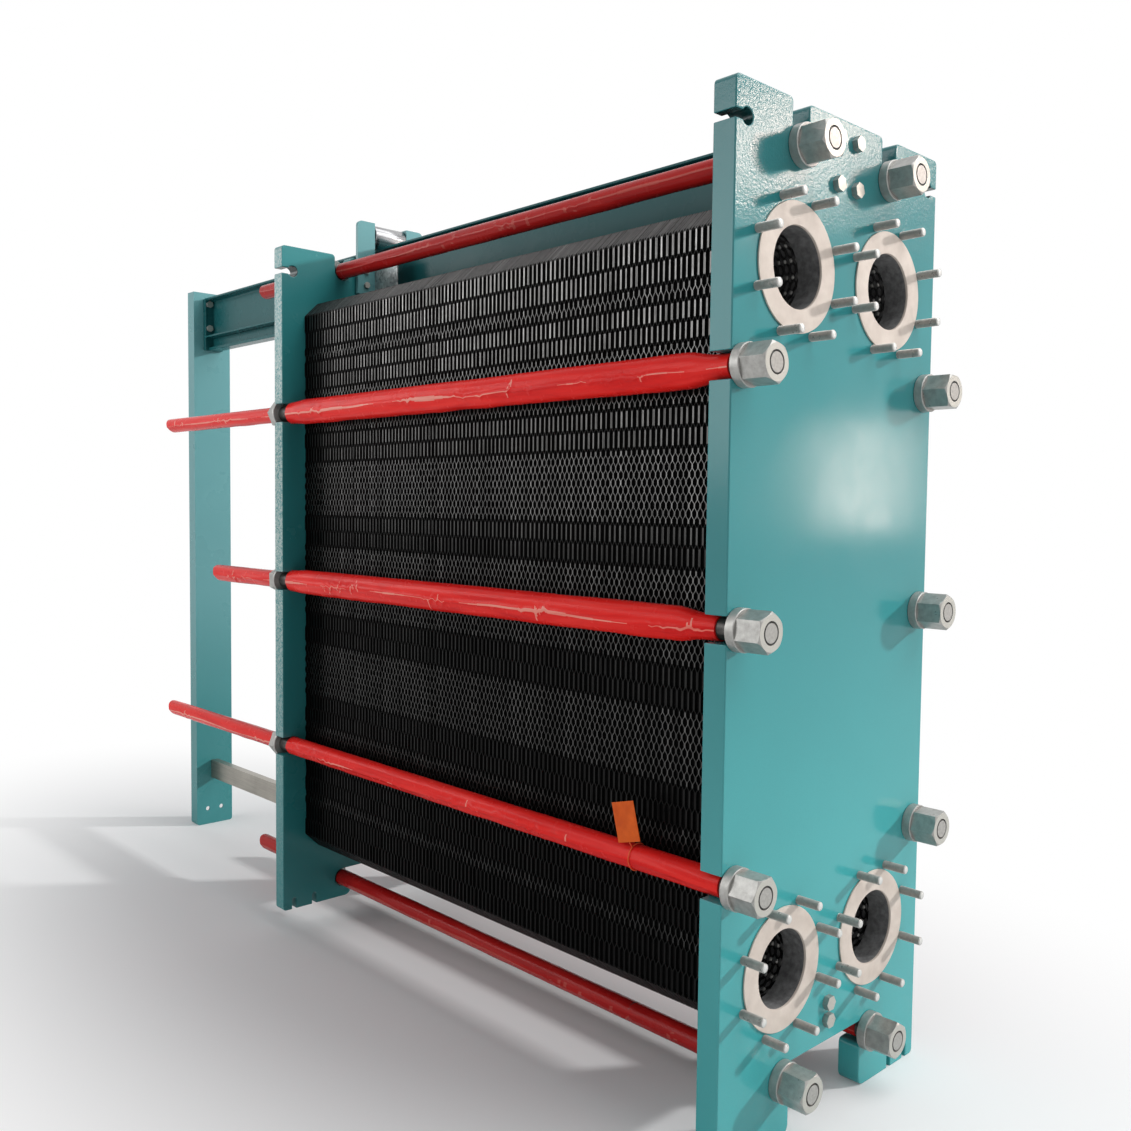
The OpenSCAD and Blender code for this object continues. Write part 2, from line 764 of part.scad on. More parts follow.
frame_plate();
pressure_plate();
plate_pack();
carrying_bar();
hanging_rail();
guide_bar();
support_column();
bar_end_front();
bar_end_rear();
port_liner(port_at(-1, 1));  // port_liner_upper_left
port_liner(port_at(1, 1));  // port_liner_upper_right
port_liner(port_at(-1, -1));  // port_liner_lower_left
port_liner(port_at(1, -1));  // port_liner_lower_right
port_studs(port_at(-1, 1));  // port_studs_upper_left
port_studs(port_at(1, 1));  // port_studs_upper_right
port_studs(port_at(-1, -1));  // port_studs_lower_left
port_studs(port_at(1, -1));  // port_studs_lower_right
tie_bolts(left_side);  // tie_bolts_left
tie_bolts(right_side);  // tie_bolts_right
tie_bolts(top_pair);  // tie_bolts_top
tie_bolts(low_pair);  // tie_bolts_bottom
front_washers();
front_nuts();
rear_washers();
rear_nuts();
front_film(left_side);  // front_film_left
front_film(right_side);  // front_film_right
front_film(top_pair);  // front_film_top
front_film(low_pair);  // front_film_bottom
rear_film(left_side);  // rear_film_left
rear_film(right_side);  // rear_film_right
rear_film(top_pair);  // rear_film_top
rear_film(low_pair);  // rear_film_bottom
hanger_bracket(-1);  // hanger_bracket_left
hanger_bracket(1);  // hanger_bracket_right
slide_angle(-1);  // slide_angle_left
slide_angle(1);  // slide_angle_right
hanger_roller();
roller_axle();
hanger_bolts();
bar_bolts_front();
bar_bolts_rear();
guide_bolts();
tag();
tag_strap();
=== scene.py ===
import json
import math
import bpy
import bmesh
import numpy as np
from mathutils import Matrix, Vector, noise
from mathutils.geometry import delaunay_2d_cdt


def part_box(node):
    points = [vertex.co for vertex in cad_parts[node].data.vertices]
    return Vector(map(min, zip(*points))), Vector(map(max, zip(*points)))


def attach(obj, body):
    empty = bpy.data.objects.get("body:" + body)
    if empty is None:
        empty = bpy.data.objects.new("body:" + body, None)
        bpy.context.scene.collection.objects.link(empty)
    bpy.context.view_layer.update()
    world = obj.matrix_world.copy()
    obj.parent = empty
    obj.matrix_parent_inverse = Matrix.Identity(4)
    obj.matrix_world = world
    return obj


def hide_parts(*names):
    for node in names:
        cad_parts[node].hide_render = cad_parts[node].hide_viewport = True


# ------------ the frame
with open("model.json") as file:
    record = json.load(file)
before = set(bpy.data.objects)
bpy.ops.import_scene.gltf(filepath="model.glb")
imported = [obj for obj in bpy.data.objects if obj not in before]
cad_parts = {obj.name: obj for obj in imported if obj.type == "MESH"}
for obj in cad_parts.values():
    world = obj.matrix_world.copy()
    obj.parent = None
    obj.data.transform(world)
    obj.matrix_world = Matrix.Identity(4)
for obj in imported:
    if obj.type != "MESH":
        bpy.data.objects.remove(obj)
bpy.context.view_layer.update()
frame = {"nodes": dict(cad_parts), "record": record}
ROOT = "root"
MM = 0.001

face_low, face_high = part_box("frame_plate")
press_low, press_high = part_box("pressure_plate")
pack_low, pack_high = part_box("plate_pack")
beam_low, beam_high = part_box("carrying_bar")
rail_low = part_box("hanging_rail")[0]
guide_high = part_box("guide_bar")[1]
FACE = face_low.y
EDGE = face_high.x
TOP = face_high.z
MID = (pack_low.z + pack_high.z) / 2
FRAME_BACK = face_high.y

TIE_R = 24 * MM
SLOT_R = 28.5 * MM
NUT_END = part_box("front_nuts")[0].y


def tie_places(node, count):
    """Centres (x, z) of a row of tie bolts, from the node's box."""
    low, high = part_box(node)
    if high.z - low.z > high.x - low.x:
        x = (low.x + high.x) / 2
        z0, z1 = low.z + TIE_R, high.z - TIE_R
        return [(x, z0 + (z1 - z0) * k / (count - 1)) for k in range(count)]
    z = (low.z + high.z) / 2
    x0, x1 = low.x + TIE_R, high.x - TIE_R
    return [(x0 + (x1 - x0) * k / (count - 1), z) for k in range(count)]


LEFT_TIES = tie_places("tie_bolts_left", 3)
RIGHT_TIES = tie_places("tie_bolts_right", 3)
TOP_TIES = tie_places("tie_bolts_top", 2)
LOW_TIES = tie_places("tie_bolts_bottom", 2)

PORTS = {}
for mount in frame["record"]["mounts"]:
    if mount["kind"] == "bore":
        PORTS[mount["name"].replace("port_", "")] = (mount["pos_m"][0], mount["pos_m"][2])
STUD_PCD = 295 * MM
STUDS = 8
THREAD, CREST_R, ROOT_R = 2.5 * MM, 9.9 * MM, 8.75 * MM

# ------------ camera
CAMERA_PLACE = (-2.10897, -2.84644, 1.35912)
LENS, SENSOR = 35.0075, 36
YAW, PITCH, ROLL = (math.radians(a) for a in (43.5265, -3.049, 0.6373))
ahead = Vector((math.sin(YAW) * math.cos(PITCH), math.cos(YAW) * math.cos(PITCH), math.sin(PITCH)))
right = Vector((math.cos(YAW), -math.sin(YAW), 0))
up = right.cross(ahead)
right_rolled = math.cos(ROLL) * right + math.sin(ROLL) * up
up_rolled = -math.sin(ROLL) * right + math.cos(ROLL) * up
cam_data = bpy.data.cameras.new("camera")
cam_data.lens = LENS
cam_data.sensor_width = SENSOR
cam_data.clip_start = 0.05
cam_data.clip_end = 200
camera = bpy.data.objects.new("camera", cam_data)
camera.matrix_world = Matrix.Translation(CAMERA_PLACE) @ Matrix(
    (right_rolled, up_rolled, -ahead)).transposed().to_4x4()
bpy.context.scene.collection.objects.link(camera)
bpy.context.scene.camera = camera

# ------------ materials


def fill(node, **values):
    """Sets a node's inputs, by name, to plain values."""
    for key, value in values.items():
        node.inputs[key.replace("_", " ")].default_value = value


class Shade:
    """A procedural material on object coordinates, in metres."""

    def __init__(self, name):
        self.mat = bpy.data.materials.new(name)
        self.mat.use_nodes = True
        self.tree = self.mat.node_tree
        self.bsdf = self.tree.nodes["Principled BSDF"]
        self.coords = self.tree.nodes.new("ShaderNodeTexCoord").outputs["Object"]

    def node(self, kind, **fields):
        made = self.tree.nodes.new("ShaderNode" + kind)
        for key, value in fields.items():
            setattr(made, key, value)
        return made

    def link(self, a, b):
        self.tree.links.new(a, b)

    def stretched(self, scale):
        mapping = self.node("Mapping")
        self.link(self.coords, mapping.inputs["Vector"])
        fill(mapping, Scale=scale)
        return mapping.outputs["Vector"]

    def noise(self, scale, detail=3.0, rough=0.5, bend=0.0, along=None):
        tex = self.node("TexNoise")
        self.link(self.stretched(along) if along else self.coords, tex.inputs["Vector"])
        fill(tex, Scale=scale, Detail=detail, Roughness=rough, Distortion=bend)
        return tex.outputs["Fac"]

    def cells(self, scale):
        """Crystal cells, for spangle."""
        tex = self.node("TexVoronoi")
        self.link(self.coords, tex.inputs["Vector"])
        fill(tex, Scale=scale)
        return tex

    def ramp(self, fac, *stops):
        ramp = self.node("ValToRGB")
        self.link(fac, ramp.inputs["Fac"])
        while len(ramp.color_ramp.elements) < len(stops):
            ramp.color_ramp.elements.new(0.5)
        for element, (place, colour) in zip(ramp.color_ramp.elements, stops):
            element.position = place
            if isinstance(colour, (int, float)):
                colour = (colour, colour, colour)
            element.color = (*colour, 1.0)
        return ramp.outputs["Color"]

    def patchy(self, scale, detail, rough, low, high):
        """Clouds of noise between two values or colours."""
        return self.ramp(self.noise(scale, detail, rough), (0.3, low), (0.7, high))

    def times(self, a, b):
        """One colour darkened by another."""
        return self.mix(a, b, 1.0, "MULTIPLY")

    def mix(self, a, b, fac, blend="MIX"):
        mix = self.node("Mix", data_type="RGBA", blend_type=blend)
        for value, socket in ((fac, mix.inputs["Factor"]), (a, mix.inputs["A"]), (b, mix.inputs["B"])):
            self.feed(value, socket)
        return mix.outputs["Result"]

    def feed(self, value, socket):
        if isinstance(value, bpy.types.NodeSocket):
            self.link(value, socket)
        elif isinstance(value, tuple):
            socket.default_value = (*value, 1.0)
        else:
            socket.default_value = value

    def axis(self, letter, source="Object"):
        """X, Y or Z of the place shaded, or of the surface's normal."""
        split = self.node("SeparateXYZ")
        self.link(self.tree.nodes.new("ShaderNodeTexCoord").outputs[source], split.inputs["Vector"])
        return split.outputs[letter]

    def math(self, operation, a, b=0.0):
        made = self.node("Math", operation=operation)
        self.feed(a, made.inputs[0])
        self.feed(b, made.inputs[1])
        return made.outputs[0]

    def span(self, value, low, high):
        """0 at `low`, 1 at `high`, and no further."""
        made = self.node("MapRange")
        self.link(value, made.inputs["Value"])
        fill(made, From_Min=low, From_Max=high)
        return made.outputs["Result"]

    def colour(self, value):
        self.link(value, self.bsdf.inputs["Base Color"])

    def rough(self, value):
        self.link(value, self.bsdf.inputs["Roughness"])

    def bump(self, *layers):
        """Relief in layers of (height, depth in metres, strength)."""
        normal = None
        for height, distance, strength in layers:
            bump = self.node("Bump")
            self.link(height, bump.inputs["Height"])
            fill(bump, Distance=distance, Strength=strength)
            if normal:
                self.link(normal, bump.inputs["Normal"])
            normal = bump.outputs["Normal"]
        self.link(normal, self.bsdf.inputs["Normal"])


BARE_EDGE = (0.56, 0.64, 0.60)


def enamel(name, base, gloss=0.2, pale=None, painted_light_z=(0.45, 1.0), key_z=None, worn=False,
           shine=0.42, top_shade_and_peel_z=None):
    """Sprayed machine enamel: slight clouding, orange peel and a clear gloss. Its tone
    may change with height as painted light and shade, take painted shade on the walls of
    a plate's lifting slots, be worn on its sawn side, and above a height be darkened with painted shade and thick
    with peel."""
    s = Shade(name)
    dark = tuple(c * 0.95 for c in base)
    light = tuple(min(1.0, c * 1.04) for c in base)
    tone = s.ramp(s.noise(1.6, 3.0, 0.5), (0.35, dark), (0.65, light))
    # painted light and shade: the tone changes with height
    if pale:
        tone = s.mix(tone, pale, s.span(s.axis("Z"), *painted_light_z))
    # painted shade: above this height the tone is darkened; the thicker peel is real relief
    if top_shade_and_peel_z:
        top_shade = tuple(c * 0.74 for c in pale or base)
        tone = s.mix(tone, top_shade, s.span(s.axis("Z"), top_shade_and_peel_z - 0.1, top_shade_and_peel_z + 0.25))
    speck = s.ramp(s.noise(700, 2.0, 0.6), (0.30, 0.94), (0.55, 1.0))
    tone = s.times(tone, speck)
    across = s.math("ABSOLUTE", s.axis("X"))
    if worn:
        side = s.math("MULTIPLY", s.span(across, EDGE - 1.5 * MM, EDGE - 0.6 * MM),
                      s.span(s.math("ABSOLUTE", s.axis("X", "Normal")), 0.6, 0.9))
        scuff = s.ramp(s.noise(150, 5.0, 0.75), (0.40, 0.0), (0.58, 0.85))
        higher = s.ramp(s.span(s.axis("Z"), 0.4, 2.1), (0.0, 0.12), (0.5, 1.0), (1.0, 0.6))
        tone = s.mix(tone, BARE_EDGE, s.times(s.times(scuff, side), higher))
    # painted shade: the walls of the lifting slots are darkened
    if key_z:
        walls = s.math("MULTIPLY", s.span(across, EDGE - 1.0 * MM, EDGE - 3.0 * MM),
                       s.span(s.math("ABSOLUTE", s.axis("Y", "Normal")), 0.7, 0.4))
        near = s.span(s.math("ABSOLUTE", s.math("SUBTRACT", s.axis("Z"), key_z)), 19.5 * MM, 18 * MM)
        tone = s.mix(tone, tuple(c * 0.16 for c in base), s.math("MULTIPLY", walls, near))
    s.colour(tone)
    s.rough(s.patchy(7, 4.0, 0.55, gloss - 0.03, gloss + 0.05))
    layers = [(s.noise(170, 2.0, 0.5), 0.00012, 0.5), (s.noise(520, 2.0, 0.5), 0.00003, 0.6),
              (s.noise(14, 3.0, 0.5), 0.0009, 0.14)]
    if top_shade_and_peel_z:
        thick = s.math("MULTIPLY", s.noise(150, 3.0, 0.6), s.span(s.axis("Z"), top_shade_and_peel_z, top_shade_and_peel_z + 0.07))
        layers.append((thick, 0.0007, 0.8))
    s.bump(*layers)
    fill(s.bsdf, Specular_IOR_Level=shine)
    return s.mat


def zinc(name, low=0.26, high=0.40, rough=0.38, scale=60, ends=None, thread=0.0):
    """Bright zinc plate: a soft mottled metal with fine handling marks. Faces that face
    the front may take a painted highlight, and a stud has the fine lines of its thread."""
    s = Shade(name)
    mottle = s.patchy(scale, 4.0, 0.6, (low, low * 0.985, low * 0.93), (high, high * 0.985, high * 0.94))
    fine = s.ramp(s.noise(700, 2.0, 0.5), (0.3, 0.9), (0.6, 1.0))
    tone = s.times(mottle, fine)
    # painted highlight: faces towards the front are brighter
    if ends:
        tone = s.mix(tone, s.times(fine, ends), s.span(s.axis("Y", "Normal"), -0.8, -0.95))
    s.colour(tone)
    s.rough(s.patchy(45, 4.0, 0.6, rough - 0.07, rough + 0.09))
    layers = [(s.noise(420, 3.0, 0.55), 0.00008, 0.5), (s.noise(55, 3.0, 0.5), 0.0003, 0.2)]
    if thread:
        turns = s.node("TexWave", bands_direction="Y")
        s.link(s.coords, turns.inputs["Vector"])
        fill(turns, Scale=2 * math.pi / (20 * thread))
        layers.append((turns.outputs["Fac"], thread * 0.3, 0.7))
    s.bump(*layers)
    fill(s.bsdf, Metallic=0.55)
    return s.mat


def galvanised(name):
    """Hot-dip zinc with its crystal spangle."""
    s = Shade(name)
    cells = s.cells(130)
    grain = s.ramp(cells.outputs["Color"], (0.2, (0.30, 0.32, 0.32)), (0.8, (0.60, 0.62, 0.62)))
    blotch = s.ramp(s.noise(26, 4.0, 0.6), (0.35, 0.72), (0.65, 1.0))
    s.colour(s.times(grain, blotch))
    s.rough(s.ramp(cells.outputs["Distance"], (0.0, 0.28), (0.7, 0.5)))
    s.bump((cells.outputs["Distance"], 0.0001, 0.4))
    fill(s.bsdf, Metallic=0.9)
    return s.mat


def brushed(name, base, along, rough=0.34, scale=420, depth=0.72):
    """Metal with fine lines along one axis."""
    s = Shade(name)
    lines = s.noise(scale, 4.0, 0.6, along=along)
    dark = tuple(c * depth for c in base)
    tone = s.ramp(lines, (0.35, dark), (0.62, base))
    stain = s.ramp(s.noise(9, 4.0, 0.6), (0.35, 0.82), (0.65, 1.0))
    s.colour(s.times(tone, stain))
    s.rough(s.ramp(lines, (0.3, rough - 0.06), (0.7, rough + 0.1)))
    s.bump((lines, 0.00006, 0.5))
    fill(s.bsdf, Metallic=0.95)
    return s.mat


def dark_steel(name, front=None):
    """Oiled black steel; a tie bolt's front end face is zinc plated."""
    s = Shade(name)
    tone = s.patchy(60, 5.0, 0.65, (0.030, 0.029, 0.028), (0.095, 0.090, 0.084))
    if front is not None:
        bright = s.patchy(160, 4.0, 0.6, (0.33, 0.32, 0.30), (0.46, 0.45, 0.42))
        tone = s.mix(tone, bright, s.math("LESS_THAN", s.axis("Y"), front))
    s.colour(tone)
    s.rough(s.patchy(110, 3.0, 0.6, 0.28, 0.45))
    s.bump((s.noise(500, 2.0, 0.5), 0.00006, 0.5))
    fill(s.bsdf, Metallic=0.6)
    return s.mat


REAR_SHADE_LENGTH = 0.45


def plate_metal(name, shade_by_height, rough=0.36, metal=0.85, shine=0.5, rear_shade=(0.12, 0.6)):
    """The pressed stainless plates' edges: painted light and shade by (height, tone),
    darker towards the floor, painted shade over the last stretch towards the rear, and
    each plate a little different from the next."""
    s = Shade(name)
    height = s.span(s.axis("Z"), 0.0, TOP)
    # painted light and shade: the tone rises with height, darkest near the floor
    tone = s.ramp(height, *[(z / TOP, (c, c * 0.985, c * 0.965)) for z, c in shade_by_height])
    plate = s.ramp(s.noise(52, 2.0, 0.9, along=(0, 1, 0.012)), (0.36, 0.62), (0.52, 0.9), (0.68, 1.5))
    stain = s.ramp(s.noise(16, 5.0, 0.7), (0.3, 0.62), (0.62, 1.0))
    # painted shade over the last stretch towards the pressure plate, along with real stains
    from_rear = s.span(s.axis("Y"), pack_high.y, pack_high.y - REAR_SHADE_LENGTH)
    rear_shade_fac = s.ramp(from_rear, (0.0, rear_shade[0]), (0.4, rear_shade[1]), (1.0, 1.0))
    stain_and_shade = s.times(stain, rear_shade_fac)
    s.colour(s.times(s.times(tone, plate), stain_and_shade))
    s.rough(s.patchy(120, 3.0, 0.6, rough - 0.08, rough + 0.1))
    s.bump((s.noise(350, 3.0, 0.5), 0.00006, 0.5))
    fill(s.bsdf, Metallic=metal, Specular_IOR_Level=shine)
    return s.mat


def rubber(name, tone=0.012, shine=0.25):
    """Black nitrile rubber of the gaskets."""
    s = Shade(name)
    s.colour(s.patchy(70, 4.0, 0.6, (tone * 0.7,) * 3, (tone * 1.5,) * 3))
    s.rough(s.patchy(90, 3.0, 0.5, 0.5, 0.72))
    s.bump((s.noise(650, 2.0, 0.5), 0.00008, 0.5))
    fill(s.bsdf, Specular_IOR_Level=shine)
    return s.mat


def film(name, low=(0.68, 0.008, 0.009), middle=(0.88, 0.020, 0.016), high=(0.98, 0.046, 0.036)):
    """Red polythene film: thin, glossy, with sharp little creases."""
    s = Shade(name)
    long_fold = s.noise(30, 3.0, 0.6, 0.8, along=(1, 0.1, 1))
    s.colour(s.ramp(long_fold, (0.25, low), (0.5, middle), (0.78, high)))
    s.rough(s.patchy(40, 3.0, 0.6, 0.16, 0.30))
    ridges = s.math("PINGPONG", s.noise(34, 2.0, 0.55, 1.4, along=(1, 0.5, 1)), 0.11)
    s.bump((long_fold, 0.0012, 0.5), (ridges, 0.0016, 0.5),
           (s.noise(160, 3.0, 0.6, 0.8, along=(1, 0.35, 1)), 0.0003, 0.5))
    fill(s.bsdf, Specular_IOR_Level=0.12)
    return s.mat


def liner_rubber(name):
    """The warm grey moulded liners of the ports."""
    s = Shade(name)
    s.colour(s.patchy(20, 5.0, 0.6, (0.57, 0.488, 0.425), (0.70, 0.615, 0.540)))
    s.rough(s.patchy(60, 3.0, 0.5, 0.42, 0.6))
    s.bump((s.noise(380, 3.0, 0.5), 0.0001, 0.5))
    return s.mat


def tag_plastic(name, low, high):
    """Orange plastic card and cord."""
    s = Shade(name)
    s.colour(s.patchy(30, 4.0, 0.6, low, high))
    s.rough(s.patchy(80, 3.0, 0.5, 0.38, 0.55))
    s.bump((s.noise(420, 2.0, 0.5), 0.0002, 0.3), (s.noise(24, 2.0, 0.5), 0.002, 0.25))
    fill(s.bsdf, Specular_IOR_Level=0.2)
    return s.mat


# the lifting slots are this far below a plate's top
KEY_DROP = 76 * MM
# painted light and shade: the frame plate's enamel is lighter low down, darker higher up and darker still at the top
TEAL = enamel("frame_enamel", (0.052, 0.370, 0.380), 0.15, pale=(0.034, 0.258, 0.270), painted_light_z=(0.6, 1.25),
              key_z=TOP - KEY_DROP, top_shade_and_peel_z=1.9)
# painted shade: the carrying bar's enamel is a darker copy of the frame plate's
TEAL_BAR_SHADED = enamel("bar_enamel", (0.014, 0.118, 0.124), gloss=0.26, shine=0.16)
# painted light: the post's enamel turns lighter between 0.45 m and 1 m up
TEAL_POST = enamel("post_enamel", (0.048, 0.250, 0.258), gloss=0.28, pale=(0.125, 0.335, 0.350))
# painted shade: the pressure plate's enamel is a darker copy of the frame plate's
TEAL_PRESS_SHADED = enamel("pressure_enamel", (0.032, 0.240, 0.248), gloss=0.24, key_z=press_high.z - KEY_DROP, worn=True)
# the nuts' and studs' front faces carry a painted highlight
ZINC = zinc("zinc_plate", 0.31, 0.46, 0.34, ends=(0.53, 0.52, 0.47))
ZINC_WASHER = zinc("zinc_washer", 0.34, 0.48, 0.40)
STUD_ZINC = zinc("zinc_thread", 0.38, 0.54, 0.32, 120, ends=(0.74, 0.74, 0.71), thread=THREAD)
GALVANISED = galvanised("galvanised_steel")
CHROME = brushed("roller_chrome", (0.50, 0.50, 0.51), (0.03, 1, 1), 0.2, 90, 0.35)
STAINLESS = brushed("guide_stainless", (0.46, 0.43, 0.38), (1, 0.02, 1), 0.36)
ROD = dark_steel("oiled_rod", NUT_END + 0.05 * MM)
AXLE = dark_steel("oiled_axle")
# the tones by height of the plates' edges are painted light and shade
PLATE_ZIG = plate_metal("plate_edge_wave", ((0.3, 0.045), (0.65, 0.055), (0.85, 0.09), (1.04, 0.09), (1.2, 0.13),
                                             (1.4, 0.165), (1.8, 0.155)), rear_shade=(0.3, 1.0))
PLATE_PAIR = plate_metal("plate_edge_straight", ((0.3, 0.007), (0.7, 0.011), (0.97, 0.018), (1.25, 0.036),
                                                  (1.30, 0.070), (1.53, 0.125), (1.75, 0.20), (1.9, 0.25)))
PLATE_FOLD = plate_metal("plate_fold", ((0.3, 0.012), (0.8, 0.030), (1.9, 0.075)), 0.5, 0.4, 0.3)
PLATE_SHADE = plate_metal("plate_side", ((0.3, 0.005), (1.9, 0.012)), 0.6, 0.0, 0.12)
LAND = zinc("plate_land", 0.55, 0.8, 0.22, 140)
GAP = rubber("pack_gap", 0.006, 0.06)
# painted shade: the bores of the liners and the port channels take this dark colour
BORE_SHADE = rubber("bore_dark", 0.15)
FILM = film("red_film")
# painted highlight: the creases of the films take a lighter pink
FILM_HIGHLIGHT = film("red_film_crease", (0.88, 0.17, 0.13), (0.94, 0.29, 0.23), (0.98, 0.42, 0.34))
# painted shade: the top and bottom rows' films are darker copies of the red film
FILM_SHADED = film("red_film_dusty", (0.34, 0.010, 0.010), (0.44, 0.014, 0.013), (0.54, 0.026, 0.022))
FILM_SHADED_HIGHLIGHT = film("red_film_dusty_crease", (0.42, 0.05, 0.04), (0.50, 0.07, 0.055), (0.58, 0.10, 0.08))
LINER = liner_rubber("port_liner")
TAG = tag_plastic("tag_card", (0.64, 0.085, 0.006), (0.80, 0.130, 0.010))
CORD = tag_plastic("tag_cord", (0.90, 0.10, 0.030), (1.0, 0.17, 0.060))

# ------------ mesh tools


def link(ob):
    bpy.context.scene.collection.objects.link(ob)
    return ob


def smooth(mesh, sharp):
    """Smooth shading, with edges kept sharp from an angle in degrees."""
    mesh.polygons.foreach_set("use_smooth", np.ones(len(mesh.polygons), bool))
    bm = bmesh.new()
    bm.from_mesh(mesh)
    limit = math.radians(sharp)
    for edge in bm.edges:
        edge.smooth = edge.is_boundary or edge.calc_face_angle(0.0) < limit
    bm.to_mesh(mesh)
    bm.free()


class Build:
    """Gathers vertices and faces of one piece."""

    def __init__(self):
        self.verts, self.faces, self.kinds, self.count = [], [], [], 0

    def add(self, verts, faces, kind=0):
        verts = np.asarray(verts, float).reshape(-1, 3)
        self.verts.append(verts)
        base = self.count
        self.faces.extend(tuple(int(i) + base for i in f) for f in faces)
        self.kinds.extend(kind if isinstance(kind, list) else [kind] * len(faces))
        self.count += len(verts)

    def piece(self, name, mats, replaces, slot, merge=False, sharp=32, weighted=True):
        """Makes the mesh, rides it on the machine and hides the CAD parts it stands for."""
        mesh = bpy.data.meshes.new(name)
        mesh.from_pydata(np.concatenate(self.verts).tolist(), [], self.faces)
        mesh.polygons.foreach_set("material_index", self.kinds)
        if merge:
            bm = bmesh.new()
            bm.from_mesh(mesh)
            bmesh.ops.remove_doubles(bm, verts=bm.verts, dist=2e-6)
            bmesh.ops.recalc_face_normals(bm, faces=bm.faces)
            bm.to_mesh(mesh)
            bm.free()
        mesh.validate()
        mesh.update()
        ob = link(bpy.data.objects.new(name, mesh))
        for mat in mats:
            mesh.materials.append(mat)
        smooth(mesh, sharp)
        if weighted:
            ob.modifiers.new("normals", "WEIGHTED_NORMAL").keep_sharp = True
        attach(ob, ROOT)
        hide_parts(*replaces)


def grid_faces(rows, cols, closed=True, flip=False):
    """Quads between rows of vertices, each row closed to a ring or open."""
    faces = []
    for i in range(rows - 1):
        for j in range(cols if closed else cols - 1):
            a, b = i * cols + j, i * cols + (j + 1) % cols
            c, d = (i + 1) * cols + (j + 1) % cols, (i + 1) * cols + j
            faces.append((a, d, c, b) if flip else (a, b, c, d))
    return faces


def fan(start, count):
    """Triangles from a ring of vertices to the one that follows it."""
    return [(start + j, start + (j + 1) % count, start + count) for j in range(count)]


def lathe_y(profile, segments, x, z, turn=0.0):
    """Turns a profile of (radius, y) about an axis along Y."""
    angles = np.arange(segments) * 2 * math.pi / segments + turn
    rows = [np.stack([x + r * np.cos(angles), np.full(segments, y), z + r * np.sin(angles)], 1) for r, y in profile]
    return np.concatenate(rows), grid_faces(len(profile), segments)


def rounded(corners, steps=6):
    """A closed outline through (x, z, radius) corners."""
    out = []
    for i, (x, z, r) in enumerate(corners):
        p = Vector((x, z))
        if r <= 0:
            out.append(p)
            continue
        a = (Vector(corners[i - 1][:2]) - p).normalized()
        b = (Vector(corners[(i + 1) % len(corners)][:2]) - p).normalized()
        half = a.angle(b) / 2
        centre = p + (a + b).normalized() * (r / math.sin(half))
        start, end = p + a * (r / math.tan(half)) - centre, p + b * (r / math.tan(half)) - centre
        sweep = math.atan2(start.x * end.y - start.y * end.x, start.dot(end))
        for k in range(steps + 1):
            t = sweep * k / steps
            out.append(centre + Vector((start.x * math.cos(t) - start.y * math.sin(t),
                                        start.x * math.sin(t) + start.y * math.cos(t))))
    return out


def ring(x, z, r, steps=96):
    return [Vector((x + r * math.cos(2 * math.pi * k / steps), z + r * math.sin(2 * math.pi * k / steps)))
            for k in range(steps)]


def loop_insets(loop, depth):
    """The outline drawn in by a depth, on the material's side (outer loops run
    counter-clockwise, holes clockwise)."""
    here = np.array([(p[0], p[1]) for p in loop])
    back, on = here - np.roll(here, 1, 0), np.roll(here, -1, 0) - here
    n0 = np.stack([back[:, 1], -back[:, 0]], 1) / np.linalg.norm(back, axis=1)[:, None]
    n1 = np.stack([on[:, 1], -on[:, 0]], 1) / np.linalg.norm(on, axis=1)[:, None]
    normal = (n0 + n1) / np.maximum(1 + (n0 * n1).sum(1), 0.2)[:, None]
    return here - normal * depth


SAME_PLACE = 2e-5


def tidy_loop(loop, clockwise):
    """The outline without doubled points, run the way that is asked for."""
    kept = []
    for p in loop:
        if not kept or (Vector(p[:2]) - kept[-1]).length > SAME_PLACE:
            kept.append(Vector(p[:2]))
    if (kept[0] - kept[-1]).length < SAME_PLACE:
        kept.pop()
    turn = sum(a.x * b.y - b.x * a.y for a, b in zip(kept, kept[1:] + kept[:1]))
    return kept[::-1] if (turn > 0) == clockwise else kept


def inside(point, loops):
    """Even-odd test of a point against all the loops."""
    odd = False
    for loop in loops:
        x0, z0, x1, z1 = loop[:, 0], loop[:, 1], np.roll(loop[:, 0], -1), np.roll(loop[:, 1], -1)
        crosses = (z0 > point[1]) != (z1 > point[1])
        with np.errstate(divide="ignore", invalid="ignore"):
            at = x0 + (point[1] - z0) * (x1 - x0) / (z1 - z0)
        odd ^= bool(np.count_nonzero(crosses & (point[0] < at)) % 2)
    return odd


